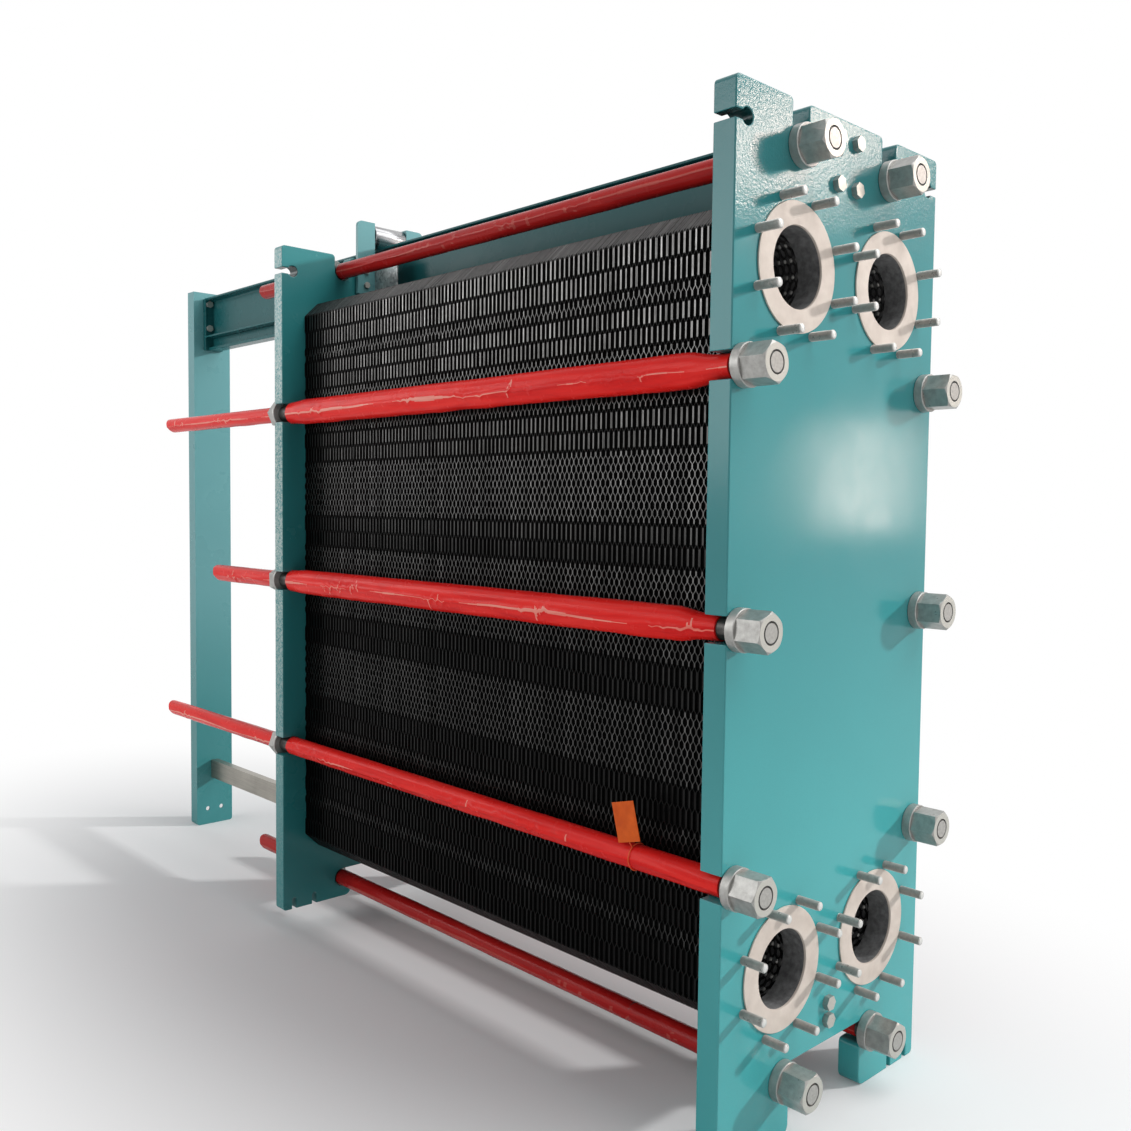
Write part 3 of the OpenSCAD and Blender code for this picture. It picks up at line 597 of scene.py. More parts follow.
def cut_plate(name, loops, y0, y1, edge, mat, **words):
    """A flat plate across Y with softened edges, from its outline and its holes."""
    loops = [tidy_loop(loop, k > 0) for k, loop in enumerate(loops)]
    steps = 3
    profile = [(edge * (1 - math.sin(k * math.pi / 2 / steps)), y0 + edge * (1 - math.cos(k * math.pi / 2 / steps)))
               for k in range(steps + 1)]
    profile += [(d, y0 + y1 - y) for d, y in reversed(profile)]
    build = Build()
    caps = []
    for loop in loops:
        rows = []
        for depth, y in profile:
            flat = loop_insets(loop, depth)
            rows.append(np.stack([flat[:, 0], np.full(len(flat), y), flat[:, 1]], 1))
        build.add(np.concatenate(rows), grid_faces(len(profile), len(loop)))
        caps.append(loop_insets(loop, edge))
    points = [Vector(p) for cap in caps for p in cap]
    edges, at = [], 0
    for cap in caps:
        edges += [(at + k, at + (k + 1) % len(cap)) for k in range(len(cap))]
        at += len(cap)
    flat, _, faces, _, _, _ = delaunay_2d_cdt(points, edges, [], 0, 1e-7)
    kept = []
    for face in faces:
        centre = sum((flat[i] for i in face), Vector((0, 0))) / len(face)
        if inside(centre, caps):
            kept.append(face)
    build.add([(p.x, y0, p.y) for p in flat], kept)
    build.add([(p.x, y1, p.y) for p in flat], [face[::-1] for face in kept])
    build.piece(name, [mat], merge=True, **words)


BEVEL_ANGLE = math.radians(40)


def dress(node, mat, edge=0.0, segments=2):
    """Gives a CAD node its material and softens its edges with modifiers."""
    ob = frame["nodes"][node]
    for k in range(len(ob.data.materials)):
        ob.data.materials[k] = mat
    if not len(ob.data.materials):
        ob.data.materials.append(mat)
    if edge:
        ob.modifiers.new("weld", "WELD").merge_threshold = 1e-5
        bevel = ob.modifiers.new("edge", "BEVEL")
        bevel.width, bevel.segments = edge, segments
        bevel.limit_method = "ANGLE"
        bevel.angle_limit = BEVEL_ANGLE
        bevel.harden_normals = True
        bevel.use_clamp_overlap = True


# ------------ plates
LEG = 141 * MM
CORNER = 12 * MM
FOOT_NOTCH_HALF, FOOT_NOTCH_TOP = 8 * MM, 36 * MM
KEY_R, KEY_HALF, KEY_INSET = 17 * MM, 9 * MM, 38 * MM
KEY_STEPS = 20


def half_outline(top, bottom, notch_top=None):
    """The right half of the plates' outline from the middle of the foot gap
    to the middle of the top edge, as corners with radii."""
    low_x, low_z = LOW_TIES[1]
    top_x, top_z = TOP_TIES[1]
    out = [(low_x + SLOT_R, low_z + SLOT_R, SLOT_R), (low_x + SLOT_R, low_z - SLOT_R, SLOT_R),
           (LEG, low_z - SLOT_R, CORNER), (LEG, bottom, 22 * MM)]
    for x in (EDGE - 112 * MM, EDGE - 40 * MM):
        w, notch_z = FOOT_NOTCH_HALF, bottom + FOOT_NOTCH_TOP
        out += [(x - w, bottom, 0), (x - w, notch_z, w), (x + w, notch_z, w), (x + w, bottom, 0)]
    out.append((EDGE, bottom, CORNER))
    for x, z in RIGHT_TIES:
        out += [(EDGE, z - SLOT_R, 2 * MM), (x - SLOT_R, z - SLOT_R, SLOT_R), (x - SLOT_R, z + SLOT_R, SLOT_R),
                (EDGE, z + SLOT_R, 2 * MM)]
    key_x, key_z = EDGE - KEY_INSET, top - KEY_DROP
    out.append((EDGE, key_z - KEY_HALF, 2 * MM))
    start = math.asin(KEY_HALF / KEY_R)
    for k in range(KEY_STEPS + 1):
        t = -start - (2 * math.pi - 2 * start) * k / KEY_STEPS
        out.append((key_x + KEY_R * math.cos(t), key_z + KEY_R * math.sin(t), 0))
    out += [(EDGE, key_z + KEY_HALF, 2 * MM), (EDGE, top, CORNER), (top_x + SLOT_R, top, CORNER),
            (top_x + SLOT_R, top_z - SLOT_R, SLOT_R), (top_x - SLOT_R, top_z - SLOT_R, SLOT_R),
            (top_x - SLOT_R, top, CORNER)]
    if notch_top:
        x, z = notch_top
        out += [(x, top, 3 * MM), (x, z, 3 * MM)]
    return out


def both_halves(half):
    """A closed outline from its right half, which runs upwards."""
    return half + [(-x, z, r) for x, z, r in reversed(half)]


OUTLINE_STEPS = 8
FRAME_HOLE_R = 90.7 * MM
RAIL_GAP = 3 * MM
frame_outline = rounded(both_halves(half_outline(TOP, 0.0)), OUTLINE_STEPS)
frame_holes = [ring(x, z, FRAME_HOLE_R) for x, z in PORTS.values()]
cut_plate("frame_plate_enamelled", [frame_outline] + frame_holes, FACE, FRAME_BACK, 3 * MM, TEAL,
          replaces=("frame_plate",), slot="frame_paint")

press_half = half_outline(press_high.z, press_low.z, (55 * MM, rail_low.z - RAIL_GAP))
guide_half = guide_high.x + RAIL_GAP
press_half = [(guide_half, guide_high.z + RAIL_GAP, 0), (guide_half, LOW_TIES[1][1] + SLOT_R, 0)] + press_half
press_outline = rounded(both_halves(press_half), OUTLINE_STEPS)
cut_plate("pressure_plate_enamelled", [press_outline], press_low.y, press_high.y, 2.5 * MM, TEAL_PRESS_SHADED,
          replaces=("pressure_plate",), slot="frame_paint")

# ------------ plate pack
PLATES = 211
PITCH = (pack_high.y - pack_low.y) / PLATES
PLATE_MID = MID + 6 * MM
# heights above the plates' own middle, and the length of one zigzag, in mm
RIM, SIDE_END = 866.0, 822.0
ZIG = 33.0
CENTRE, CENTRE_WAVES = 16.3, 7
BANDS = [(108, 198, "pair"), (198, 366, "zig"), (366, 454, "pair"), (454, 590, "zig"),
         (590, 676, "pair"), (676, 718, "zig"), (718, SIDE_END, "pair")]


def wave_stops():
    """Heights above the middle (mm), the side to which a plate's edge leans, and the band."""
    stops = []
    for k in range(CENTRE_WAVES):
        for t in (-0.26, 0.26):
            if (k + t) > 0:
                stops.append(((k + t) * CENTRE, 1 if k % 2 else -1, "zig"))
    for low, high, kind in BANDS:
        if kind == "zig":
            count = max(1, round((high - low) / ZIG))
            step = (high - low) / count
            for k in range(count):
                for t, lean in ((0.12, 1), (0.38, 1), (0.62, -1), (0.88, -1)):
                    stops.append((low + (k + t) * step, lean, kind))
        else:
            middle = (low + high) / 2
            stops += [(low + 4, 1, kind), (middle - 4.5, 1, kind), (middle + 4.5, -1, kind), (high - 4, -1, kind)]
    return stops


WAVE = wave_stops()
# half thicknesses of the edges
PAIR_T, ZIG_T, FOLD_T, LOW_FOLD_T = 1.15 * MM, 0.9 * MM, 3.3 * MM, 1.9 * MM
RIM_T, CORNER_T = 1.2 * MM, 1.8 * MM
WAVED, STRAIGHT, FOLDED, CROSSING = 0, 1, 2, 3
CUT_X, CUT_Z = 46 * MM, (RIM - SIDE_END) * MM
TAB, TAB_SLOPE = 60 * MM, 8 * MM
STRIP_DEPTH = 8 * MM


def side_path():
    """Path round the right half of a plate: x, z, outward normal, lean, half
    thickness and the kind of edge that follows. Its middle reaches over the rail
    above and beside the guide bar below."""
    half = pack_high.x
    slope = Vector((CUT_Z, CUT_X)).normalized()

    def corner(sign):
        z = PLATE_MID + sign * RIM * MM
        tip = pack_high.z if sign > 0 else pack_low.z
        fold_t = FOLD_T if sign > 0 else LOW_FOLD_T
        at = [(half - CUT_X - 3 * MM, 0, 0, 1, RIM_T), (half - CUT_X, 0, 0.3, 0.95, CORNER_T),
              (half - CUT_X * 0.9, CUT_Z * 0.1, slope.x, slope.y, fold_t),
              (half - CUT_X * 0.1, CUT_Z * 0.9, slope.x, slope.y, fold_t),
              (half, CUT_Z, 0.95, 0.3, CORNER_T)]
        tab = [(TAB, tip, 0.5, sign * 0.87, 0, RIM_T, FOLDED),
               (TAB + TAB_SLOPE, z, 0.3, sign * 0.95, 0, RIM_T, FOLDED)]
        return tab + [(x, z - sign * drop, nx, sign * nz, 0, t, FOLDED) for x, drop, nx, nz, t in at]

    path = [(26 * MM, pack_high.z, 0, 1, 0, RIM_T, FOLDED)] + corner(1)
    side = []
    for k, (z, lean, kind) in enumerate(WAVE):
        after = WAVE[k + 1] if k + 1 < len(WAVE) else (0, 0, "")
        follows = WAVED
        if "pair" in (kind, after[2]):
            follows = STRAIGHT if kind == after[2] and lean == after[1] else CROSSING
        side.append((z, lean, PAIR_T if kind == "pair" else ZIG_T, follows))
    for k in range(len(side) - 1, -1, -1):
        z, lean, t, _ = side[k]
        path.append((half, PLATE_MID + z * MM, 1, 0, lean, t, side[k - 1][3] if k else WAVED))
    for z, lean, t, follows in side:
        path.append((half, PLATE_MID - z * MM, 1, 0, lean, t, follows))
    return np.array(path + corner(-1)[::-1] + [(18 * MM, pack_low.z, 0, -1, 0, RIM_T, FOLDED)])


def ribbon(path, y_mid, sign, side):
    """One plate's edge as a thin bent strip round one half of its outline."""
    x, z, nx, nz, lean, half_t, _ = path.T
    # two neighbours that lean to each other just touch
    y = y_mid + sign * lean * (PITCH / 2 - half_t)
    inner_x, inner_z = x - nx * STRIP_DEPTH, z - nz * STRIP_DEPTH
    rows = np.stack([
        np.stack([side * inner_x, y - half_t * 0.8, inner_z], 1),
        np.stack([side * x, y - half_t, z], 1),
        np.stack([side * x, y + half_t, z], 1),
        np.stack([side * inner_x, y + half_t * 0.8, inner_z], 1)], 1)
    return rows.reshape(-1, 3)


path = side_path()
strip = grid_faces(len(path), 4, closed=False)
strip_flipped = grid_faces(len(path), 4, closed=False, flip=True)
# the flanks of the straight stretches, and the crossings between them, are in shade
FLANKS = {WAVED: 3, STRAIGHT: 3, FOLDED: 2, CROSSING: 3}
kinds = []
for kind in path[:-1, 6].astype(int):
    kinds += [FLANKS[kind], kind, FLANKS[kind]]
GROUPS = 5
rng = np.random.default_rng(7)
shake = rng.normal(0, 0.28 * MM, PLATES)
for group in range(GROUPS):
    build = Build()
    for i in range(group * PLATES // GROUPS, (group + 1) * PLATES // GROUPS):
        y_mid = pack_low.y + (i + 0.5) * PITCH + shake[i] * 0.5
        sign = 1 if i % 2 else -1
        for side, faces in ((1, strip), (-1, strip_flipped)):
            wobble = path.copy()
            wobble[:, 0] += shake[i] * 1.5 * wobble[:, 2] - 0.6 * MM * wobble[:, 2]
            build.add(ribbon(wobble, y_mid, sign, side), faces, kinds)
    build.piece(f"pack_plates_{group + 1}", [PLATE_ZIG, PLATE_PAIR, PLATE_FOLD, PLATE_SHADE],
                replaces=("plate_pack",), slot="plates", weighted=False, sharp=28)

half, inset = pack_high.x, 8.5 * MM
rim_low, rim_high = PLATE_MID - RIM * MM, PLATE_MID + RIM * MM
core_half = [(20 * MM, guide_high.z + 2 * MM, 0), (20 * MM, pack_low.z + inset, 0),
             (TAB - inset, pack_low.z + inset, 0), (TAB - inset, rim_low + inset, 0),
             (half - CUT_X - 3 * MM, rim_low + inset, 0),
             (half - inset, rim_low + CUT_Z + 3 * MM, 0), (half - inset, rim_high - CUT_Z - 3 * MM, 0),
             (half - CUT_X - 3 * MM, rim_high - inset, 0), (TAB - inset, rim_high - inset, 0),
             (TAB - inset, pack_high.z - inset, 0), (30 * MM, pack_high.z - inset, 0),
             (30 * MM, rail_low.z - 3 * MM, 0)]
core_outline = rounded(both_halves(core_half))
CHANNEL_R = 96 * MM
core_holes = [ring(x, z, CHANNEL_R) for x, z in PORTS.values()]
cut_plate("pack_gaskets", [core_outline] + core_holes, pack_low.y + 0.2 * MM, pack_high.y - 0.2 * MM, 1 * MM,
          GAP, replaces=("plate_pack",), slot="plates")

# the plates' rims inside the ports: neighbours meet at a ring of small bright lands
PORT_PLATES, LAND_PLATES = 24, 14
LOBES, LAND_STEPS = 16, 8
PLATE_HOLE_R = 88.6 * MM
LAND_RINGS = ((89.5 * MM, 4.6 * MM), (87.2 * MM, 3.6 * MM), (86.2 * MM, 1.6 * MM))


def add_land(build, x, z, t, y):
    """One land, at an angle round the port at x, z."""
    out, rim = Vector((math.cos(t), math.sin(t))), Vector((-math.sin(t), math.cos(t)))
    verts = []
    for r, size in LAND_RINGS:
        for a in np.arange(LAND_STEPS) * math.pi / 4:
            along = size * math.cos(a) * 1.25
            verts.append((x + out.x * r + rim.x * along, y + size * math.sin(a) * 0.9,
                          z + out.y * r + rim.y * along))
    verts.append((x + out.x * 86 * MM, y, z + out.y * 86 * MM))
    build.add(verts, grid_faces(3, LAND_STEPS, flip=True) + fan(2 * LAND_STEPS, LAND_STEPS), kind=2)


build = Build()
cols = LOBES * 4
turns = np.arange(cols) * 2 * math.pi / cols
leans = np.tile([1, 1, -1, -1], LOBES)
for x, z in PORTS.values():
    for i in range(PORT_PLATES):
        y_mid = pack_low.y + (i + 0.5) * PITCH
        sign = 1 if i % 2 else -1
        y = y_mid + sign * leans * (PITCH / 2 - 0.75 * MM)
        rows = []
        for r, dy in ((CHANNEL_R, -0.6 * MM), (PLATE_HOLE_R, -0.8 * MM),
                      (PLATE_HOLE_R, 0.8 * MM), (CHANNEL_R, 0.6 * MM)):
            rows.append(np.stack([x + r * np.cos(turns), y + dy, z + r * np.sin(turns)], 1))
        build.add(np.concatenate(rows), grid_faces(4, cols, flip=True))
        if i % 2 or i >= LAND_PLATES:
            continue
        for k in range(LOBES):
            add_land(build, x, z, (4 * k + 0.5) * 2 * math.pi / cols, y_mid - PITCH / 2)
    tube = [(95.5 * MM, pack_low.y + 1 * MM), (95.5 * MM, pack_low.y + PORT_PLATES * PITCH),
            (89 * MM, pack_low.y + PORT_PLATES * PITCH + 2 * MM), (89 * MM, pack_high.y - 2 * MM)]
    # the port channel's wall takes the bore's painted shade
    build.add(*lathe_y(tube, 64, x, z), kind=1)
build.piece("pack_port_rims", [PLATE_FOLD, BORE_SHADE, LAND], replaces=("plate_pack",), slot="plates", weighted=False)

# ------------ liners and studs
LINER_SEGMENTS = 128
SLEEVE_R, COLLAR_R, COLLAR_T = 90.5, 135, 4
# radius, and place behind the frame plate's face, in mm
collar = [(r * MM, FACE + y * MM) for r, y in (
    (SLEEVE_R, 0.5), (134.2, 0.05), (COLLAR_R, -0.8), (COLLAR_R, -2.8), (134.6, -3.6),
    (133.6, -COLLAR_T), (88, -COLLAR_T), (86.4, -3.4), (85.6, -2.2), (85.5, 1.2))]
collar.insert(0, (SLEEVE_R * MM, FRAME_BACK))
for name, (x, z) in PORTS.items():
    build = Build()
    build.add(*lathe_y(collar, LINER_SEGMENTS, x, z))
    # the liner's bore takes a painted shade, not the liner's own colour
    build.add(*lathe_y([collar[-1], (collar[-1][0], FRAME_BACK)], LINER_SEGMENTS, x, z), kind=1)
    build.piece(f"liner_{name}", [LINER, BORE_SHADE], replaces=(f"port_liner_{name}",), slot="liner")

tip = FACE - 57 * MM
stud = [(0.01 * MM, tip), (8.3 * MM, tip), (9.1 * MM, tip + 1.0 * MM)]
y = tip + 1.4 * MM
while y < FACE - THREAD:
    stud += [(CREST_R, y + 0.2 * THREAD), (CREST_R, y + 0.4 * THREAD), (ROOT_R, y + 0.9 * THREAD)]
    y += THREAD
stud.append((9.4 * MM, FACE + 0.5 * MM))
for name, (x, z) in PORTS.items():
    build = Build()
    for k in range(STUDS):
        t = (k + 0.5) * 2 * math.pi / STUDS
        sx, sz = x + STUD_PCD / 2 * math.cos(t), z + STUD_PCD / 2 * math.sin(t)
        build.add(*lathe_y(stud, 20, sx, sz, turn=0.3 * k))
    build.piece(f"studs_{name}", [STUD_ZINC], replaces=(f"port_studs_{name}",), slot="zinc", weighted=False, sharp=55)

# ------------ film sleeves
ROD_CLEAR = 24.4 * MM
FILM_R = 27.9
# columns of a sleeve lie close together at its crease, by distance round the tube in mm
CREASE_STEPS = (0, 0.7, 1.5, 2.6, 4.2, 6.6, 10, 14.5, 20, 27, 35, 44, 54, 65, 76)
BUNCH_EVERY, BUNCH_SPREAD = 0.36, 0.045
FOLD_HALF, FOLD_SIDE = 3.2, 14
CREASE_HIGH, CREASE_HALF, HOLLOW_AT, HOLLOW_HALF = 2.2, 2.8, 11, 8


def crease_columns():
    """Angles from the crease of a sleeve's columns, both ways round."""
    turn = 2 * math.pi * FILM_R
    steps = [d for d in CREASE_STEPS if d < turn / 2]
    return np.array([-d for d in reversed(steps[1:])] + steps) / FILM_R


def ease(value, low, high):
    """0 up to `low`, 1 from `high`, and smooth between."""
    t = min(1.0, max(0.0, (value - low) / (high - low)))
    return t * t * (3 - 2 * t)


def drift(*place):
    """Smooth noise, about -1 to 1."""
    return noise.noise(Vector(place))


def bunches(rng, length, step):
    """Short cross folds where a film bunches, as (place along it in m, place round it
    in mm, height, lean, reach in mm)."""
    spots = rng.uniform(0.05, 0.95, max(2, round(length / BUNCH_EVERY))) * length
    kinks = []
    for spot in spots:
        for _ in range(rng.integers(3, 8)):
            place = round((spot + rng.normal(0, BUNCH_SPREAD)) / step) * step
            kinks.append((place, rng.uniform(-15, 15), rng.uniform(0.5, 1.35),
                          rng.uniform(-0.9, 0.9), rng.uniform(8, 20)))
    return kinks


def cross_folds(kinks, s, round_at, calm):
    """Height in mm of the cross folds at a place, and whether one carries a painted highlight there."""
    fold, pale = 0.0, False
    for place, centre, height, lean, reach in kinks:
        gap = (s - place) * 1000 - lean * (round_at - centre)
        if abs(gap) < FOLD_SIDE and abs(round_at - centre) < reach * 1.8:
            near = math.exp(-(gap / FOLD_HALF) ** 2) * math.exp(-((round_at - centre) / reach) ** 2)
            fold += height * 1.5 * near
            pale = pale or (height > 0.95 + 0.1 * calm and near > 0.36)
    return fold, pale


def sleeve(build, x, z, y0, y1, spacing, seed, crease, wide, tall, oblique=0.0, calm=0.0):
    """A loose film tube over a tie bolt: a sharp lay-flat crease that wanders and
    kinks, short cross folds where the film bunches, and a slack round wall. `wide`
    and `tall` are its half sizes in mm where it hangs open between the plates. Faces
    along the crease and on high cross folds take a lighter colour as a painted highlight; a `calm` film carries less
    of it."""
    offsets = crease_columns()
    cols = len(offsets)
    length = y1 - y0
    rows = max(6, round(length / spacing))
    kinks = bunches(np.random.default_rng(int(seed * 10)), length, length / rows)
    verts = []
    highlighted = np.zeros((rows + 1, cols), bool)
    for i in range(rows + 1):
        s = length * i / rows
        open_here = ease(s, NOTCH_END, NOTCH_END + 0.08) * (1 - 0.5 * ease(s, length - 0.11, length))
        high = wide + (tall - wide) * open_here * (1 + 0.08 * drift(seed, s * 3.3, 6))
        wander = 17 * drift(seed, s * 2.1, 0) + 7 * drift(seed, s * 8.0, 4)
        wander += sum(6 * (1 if k[1] > 0 else -1) * math.exp(-((s - k[0]) / 0.007) ** 2) for k in kinks)
        sharp = 0.85 + 0.55 * drift(seed + 8, s * 3.0, 1)
        loose = 0.5 + 0.5 * drift(seed + 3, s * 1.6, 2)
        highlight_width = 2.2 - calm + 8.5 * drift(seed + 20, s * 4.5, 3)
        for j, off in enumerate(offsets):
            t = crease + math.radians(wander) + off
            arc = abs(off) * FILM_R
            round_at = off * FILM_R
            side, up = math.cos(t), math.sin(t)
            r = wide * high / math.hypot(high * side, wide * up)
            r += 0.9 * loose * math.cos(2 * off + 0.4)
            r += CREASE_HIGH * sharp * math.exp(-arc / CREASE_HALF)
            r -= (0.7 + 2.0 * open_here) * sharp * math.exp(-((arc - HOLLOW_AT) / HOLLOW_HALF) ** 2)
            # the fold on the far side of the flattened tube
            r += 1.1 * math.exp(-(math.pi - abs(off)) * FILM_R / 5)
            if up < 0:
                r += 1.6 * open_here * up * drift(seed + 5, s * 11.0, 7)
            r += 0.75 * drift(side * 1.6, s * 6.0, up * 1.6 + seed * 5.1)
            fold, pale = cross_folds(kinks, s, round_at, calm)
            # faces near the crease and on high cross folds take the lighter crease colour: a painted highlight
            highlighted[i, j] = arc < highlight_width or pale
            limit = (wide + 0.2) / max(abs(side), 0.3)
            r = min(max((r + fold) * MM, ROD_CLEAR + 0.35 * MM), max(limit * MM, ROD_CLEAR + 0.5 * MM))
            y = y0 + s
            if oblique:
                y -= oblique * (1 - up) / 2 * ease(s, length * 0.8, length)
            verts.append((x + r * side, y, z + r * up))
    lit = highlighted[:-1] & np.roll(highlighted, -1, axis=1)[:-1]
    build.add(verts, grid_faces(rows + 1, cols), kind=lit.astype(int).ravel().tolist())
    return verts[:cols], verts[-cols:]


def end_skirt(build, loop, x, z, dy, inner):
    """Turns the film's end inwards so that it has an edge and no open shell."""
    cols = len(loop)
    out = list(loop)
    for p in loop:
        d = Vector((p[0] - x, 0, p[2] - z)).normalized()
        out.append((x + d.x * inner, p[1] + dy, z + d.z * inner))
    build.add(out, grid_faces(2, cols, flip=dy > 0))


def puckered_end(build, loop, x, z):
    """Closes a film's slanting end behind its bolt, drawn together in small pleats."""
    cols = len(loop)
    rings = [list(loop)]
    for share, back in ((0.93, 2.5 * MM), (0.74, 4.0 * MM), (0.4, 3.0 * MM)):
        row = []
        for j, (px, py, pz) in enumerate(loop):
            pleat = 1.03 if j % 3 else 0.92
            row.append((x + (px - x) * share * pleat, py + back, z + (pz - z) * share * pleat))
        rings.append(row)
    middle = sum(v[1] for v in loop) / cols
    verts = [v for row in rings for v in row] + [(x, middle, z)]
    build.add(verts, grid_faces(4, cols) + fan(3 * cols, cols))


# the film is tight in the frame plate's slots, and where it was pulled over a long thread
NOTCH_END = FRAME_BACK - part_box("front_film_left")[0].y + 3 * MM
LOOSE, SNUG, TIGHT, SLACK = 28.0, 28.0, 25.2, 38.5
TAIL_OVER, TOP_TAIL_OVER = 26 * MM, 6 * MM
# the middle bolt's film stops a little way behind its washer
SHRUNK = 20 * MM
FINE, COARSE = 5.2 * MM, 11 * MM
LEFT_CREASE, RIGHT_CREASE = math.radians(189), math.radians(-9)
film_jobs = [("left", LEFT_TIES, FINE, LEFT_CREASE), ("right", RIGHT_TIES, COARSE, RIGHT_CREASE),
             ("top", TOP_TIES, COARSE, LEFT_CREASE), ("bottom", LOW_TIES, COARSE, LEFT_CREASE)]
MIDDLE_TIE_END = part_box("tie_bolts_top")[1].y - 20 * MM
FILM_OVER = 12 * MM
for row_name, ties, spacing, crease in film_jobs:
    upright = len(ties) == 3
    # the top and bottom rows take the darker film: painted shade
    mats = [FILM, FILM_HIGHLIGHT] if upright else [FILM_SHADED, FILM_SHADED_HIGHLIGHT]
    tail = TOP_TAIL_OVER if row_name == "top" else TAIL_OVER
    for end_name in ("front", "rear"):
        node = f"{end_name}_film_{row_name}"
        low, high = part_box(node)
        build = Build()
        for k, (x, z) in enumerate(ties):
            seed = 1.7 * k + 3.9 * len(node) + (5.5 if end_name == "rear" else 0)
            y1 = high.y
            if end_name == "front":
                wide = LOOSE if upright else TIGHT
                tall = SLACK if upright and k else wide
                y0 = low.y + (SHRUNK if upright and k == 1 else 0)
                start, end = sleeve(build, x, z, y0, y1, spacing, seed, crease, wide, tall,
                                    calm=3.5 if upright and not k else 0)
                end_skirt(build, end, x, z, 0.6 * MM, ROD_CLEAR)
            else:
                short = upright and k == 1
                if short:
                    y1 = MIDDLE_TIE_END + FILM_OVER
                wide = SNUG if short else TIGHT
                start, end = sleeve(build, x, z, low.y, y1 + tail, spacing * 1.4, seed, crease, wide, wide,
                                    tail + 4 * MM)
                puckered_end(build, end, x, z)
            end_skirt(build, start, x, z, -0.6 * MM, ROD_CLEAR)
        build.piece(node + "_crinkled", mats, replaces=(node,), slot="film", weighted=False, sharp=50)

# ------------ bars
web, flange, fillet = 2.5 * MM, 7.4 * MM, 9 * MM
bx, bz0, bz1 = beam_high.x, beam_low.z, beam_high.z
beam_half = [(bx, bz0, 1.5 * MM), (bx, bz0 + flange, 3 * MM), (web, bz0 + flange, fillet),
             (web, bz1 - flange, fillet), (bx, bz1 - flange, 3 * MM), (bx, bz1, 1.5 * MM)]
cut_plate("carrying_bar_rolled", [rounded(both_halves(beam_half))], beam_low.y, beam_high.y, 0.8 * MM, TEAL_BAR_SHADED,
          replaces=("carrying_bar",), slot="bar_paint")

for node, mat, edge in (
        ("hanging_rail", TEAL_BAR_SHADED, 1.5), ("bar_end_front", TEAL_BAR_SHADED, 2), ("bar_end_rear", TEAL_BAR_SHADED, 2),
        ("guide_bar", STAINLESS, 1.5), ("hanger_roller", CHROME, 2), ("roller_axle", AXLE, 0),
        ("hanger_bracket_left", TEAL_POST, 1.5), ("hanger_bracket_right", TEAL_POST, 1.5),
        ("slide_angle_left", GALVANISED, 1), ("slide_angle_right", GALVANISED, 1),
        ("tie_bolts_left", ROD, 0), ("tie_bolts_right", ROD, 0),
        ("tie_bolts_top", ROD, 0), ("tie_bolts_bottom", ROD, 0),
        ("front_nuts", ZINC, 0.8), ("rear_nuts", ZINC, 1), ("front_washers", ZINC_WASHER, 0),
        ("rear_washers", ZINC_WASHER, 0), ("hanger_bolts", ZINC, 0.6), ("guide_bolts", ZINC, 0.8),
        ("bar_bolts_front", ZINC, 0.8), ("bar_bolts_rear", ZINC, 0.6), ("tag", TAG, 0.3), ("tag_strap", CORD, 0)):
    dress(node, mat, edge * MM)
dress("support_column", TEAL_POST, 3 * MM, 3)

# ------------ stage


def operate(tree, kind, operation, *inputs):
    """A math node on sockets and plain values."""
    made = tree.nodes.new(kind)
    made.operation = operation
    for value, socket in zip(inputs, made.inputs):
        if isinstance(value, bpy.types.NodeSocket):
            tree.links.new(value, socket)
        else:
            socket.default_value = value
    return made


def seen_directly(tree):
    """1 for what the camera sees, also in a mirror or through glass."""
    rays = tree.nodes.new("ShaderNodeLightPath").outputs
    seen = operate(tree, "ShaderNodeMath", "MAXIMUM", rays["Is Camera Ray"], rays["Is Glossy Ray"])
    return operate(tree, "ShaderNodeMath", "MAXIMUM", seen.outputs[0], rays["Is Transmission Ray"]).outputs[0]


def blend(tree, fac, first, second, output):
    """Mixes two shaders into the output."""
    mix = tree.nodes.new("ShaderNodeMixShader")
    for value, socket in zip((fac, first.outputs[0], second.outputs[0]), mix.inputs):
        tree.links.new(value, socket)
    tree.links.new(mix.outputs[0], tree.nodes.new(output).inputs["Surface"])


# the floor is matte where it takes the shadow, and fades to the backdrop's white
FADE_START, FADE_END, FADE_SQUEEZE = 0.6, 1.9, (1.0, 0.55, 1.0)
floor_mat = bpy.data.materials.new("studio_floor")
floor_mat.use_nodes = True
tree = floor_mat.node_tree
tree.nodes.clear()
matte = tree.nodes.new("ShaderNodeBsdfDiffuse")
fill(matte, Color=(0.86, 0.86, 0.86, 1))
white = tree.nodes.new("ShaderNodeEmission")
fill(white, Strength=1.0)
place = tree.nodes.new("ShaderNodeTexCoord").outputs["Object"]
squeezed = operate(tree, "ShaderNodeVectorMath", "MULTIPLY", place, FADE_SQUEEZE)
distance = operate(tree, "ShaderNodeVectorMath", "LENGTH", squeezed.outputs[0])
fade = tree.nodes.new("ShaderNodeMapRange")
fill(fade, From_Min=FADE_START, From_Max=FADE_END)
fade.interpolation_type = "SMOOTHSTEP"
tree.links.new(distance.outputs["Value"], fade.inputs["Value"])
gate = operate(tree, "ShaderNodeMath", "MULTIPLY", seen_directly(tree), fade.outputs["Result"])
blend(tree, gate.outputs[0], matte, white, "ShaderNodeOutputMaterial")
FLOOR = 60
floor_mesh = bpy.data.meshes.new("floor")
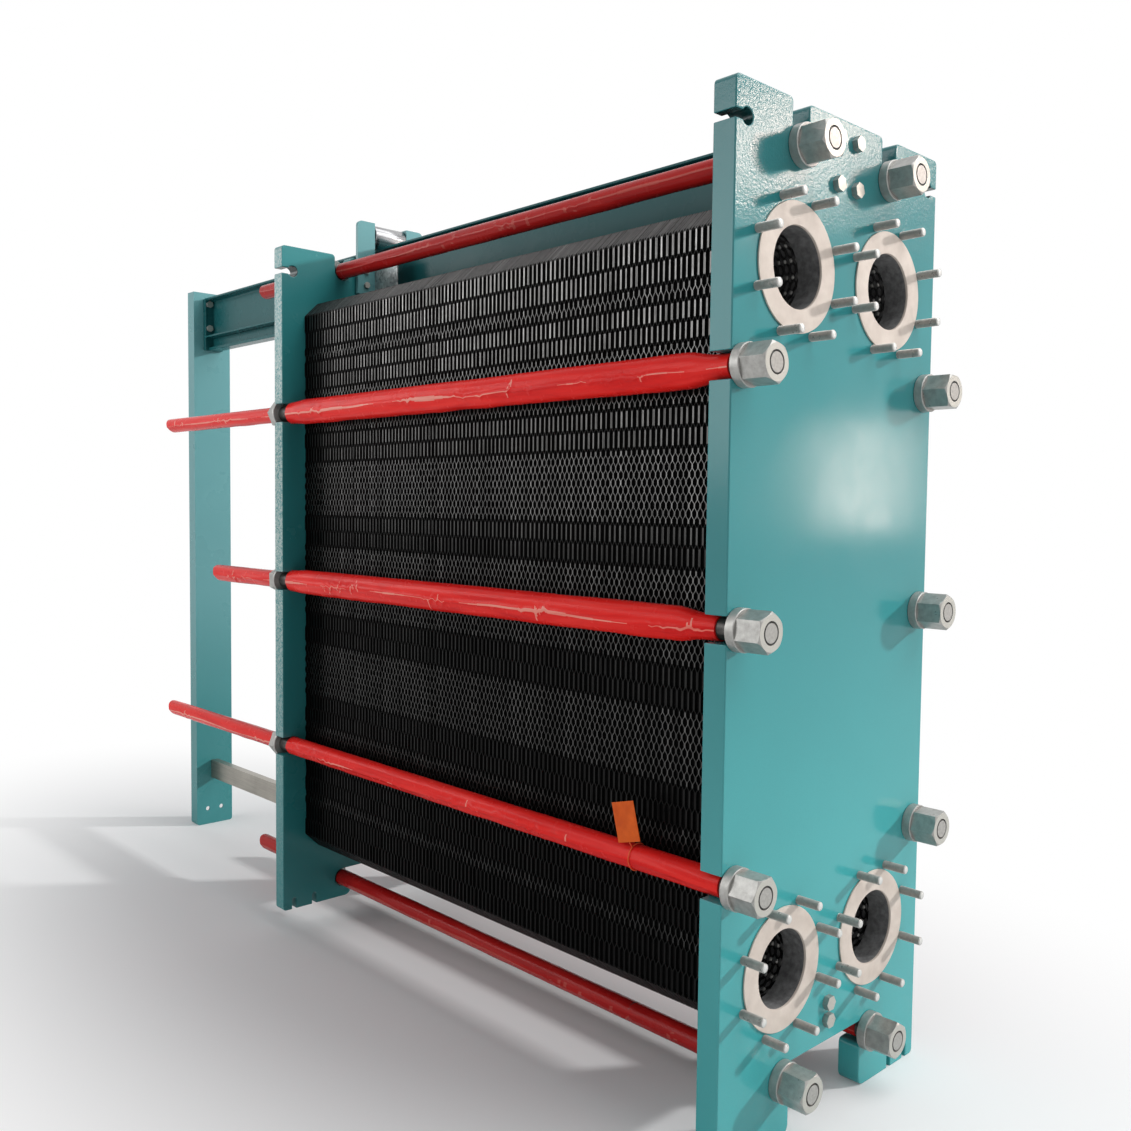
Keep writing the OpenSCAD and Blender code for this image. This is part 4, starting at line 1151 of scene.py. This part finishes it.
floor_mesh.from_pydata([(-FLOOR, -FLOOR, 0), (FLOOR, -FLOOR, 0), (FLOOR, FLOOR, 0), (-FLOOR, FLOOR, 0)], [],
                       [(0, 1, 2, 3)])
floor_mesh.materials.append(floor_mat)
floor = link(bpy.data.objects.new("floor", floor_mesh))

world = bpy.data.worlds.new("studio")
bpy.context.scene.world = world
world.use_nodes = True
tree = world.node_tree
tree.nodes.clear()
skylight, plain = tree.nodes.new("ShaderNodeBackground"), tree.nodes.new("ShaderNodeBackground")
fill(skylight, Color=(0.93, 0.96, 1.0, 1), Strength=0.30)
fill(plain, Color=(1, 1, 1, 1), Strength=1.0)
blend(tree, seen_directly(tree), skylight, plain, "ShaderNodeOutputWorld")


def area(name, place, target, size, size_y, power, colour=(1, 1, 1), glossy=True, diffuse=True):
    """An area lamp of `size` by `size_y` metres that faces its target."""
    data = bpy.data.lights.new(name, "AREA")
    data.shape = "RECTANGLE"
    data.size = size
    data.size_y = size_y
    data.energy = power
    data.color = colour
    lamp = link(bpy.data.objects.new(name, data))
    lamp.location = place
    lamp.rotation_mode = "QUATERNION"
    lamp.rotation_quaternion = (Vector(place) - Vector(target)).to_track_quat("Z", "Y")
    lamp.visible_glossy = glossy
    lamp.visible_diffuse = diffuse


WARM = (1.0, 0.80, 0.72)
area("key", (16.0, -11.7, 7.4), (0, FACE, 1.15), 0.9, 0.9, 3000, glossy=False)
area("key_glint", (7.64, -7.11, 5.30), (-0.24, FACE, 2.12), 1.1, 0.9, 92, WARM, diffuse=False)
area("window", (5.25, -4.68, 1.61), (0.08, FACE, 1.44), 0.60, 0.80, 11.5, WARM)
area("high_window", (5.8, -5.54, 4.5), (-0.15, FACE, 2.12), 2.5, 1.0, 14, WARM)
area("ceiling", (1.0, -2.5, 5.0), (0, 0, 1.0), 4.0, 4.0, 130)
area("side_fill", (-5.0, 1.5, 3.0), (0, 0, 1.1), 3.0, 3.0, 68)
area("back_window", (-2.8, 3.2, 2.7), (-0.3, 0.2, 1.6), 2.2, 1.4, 22)

bpy.context.scene.view_settings.view_transform = "Standard"
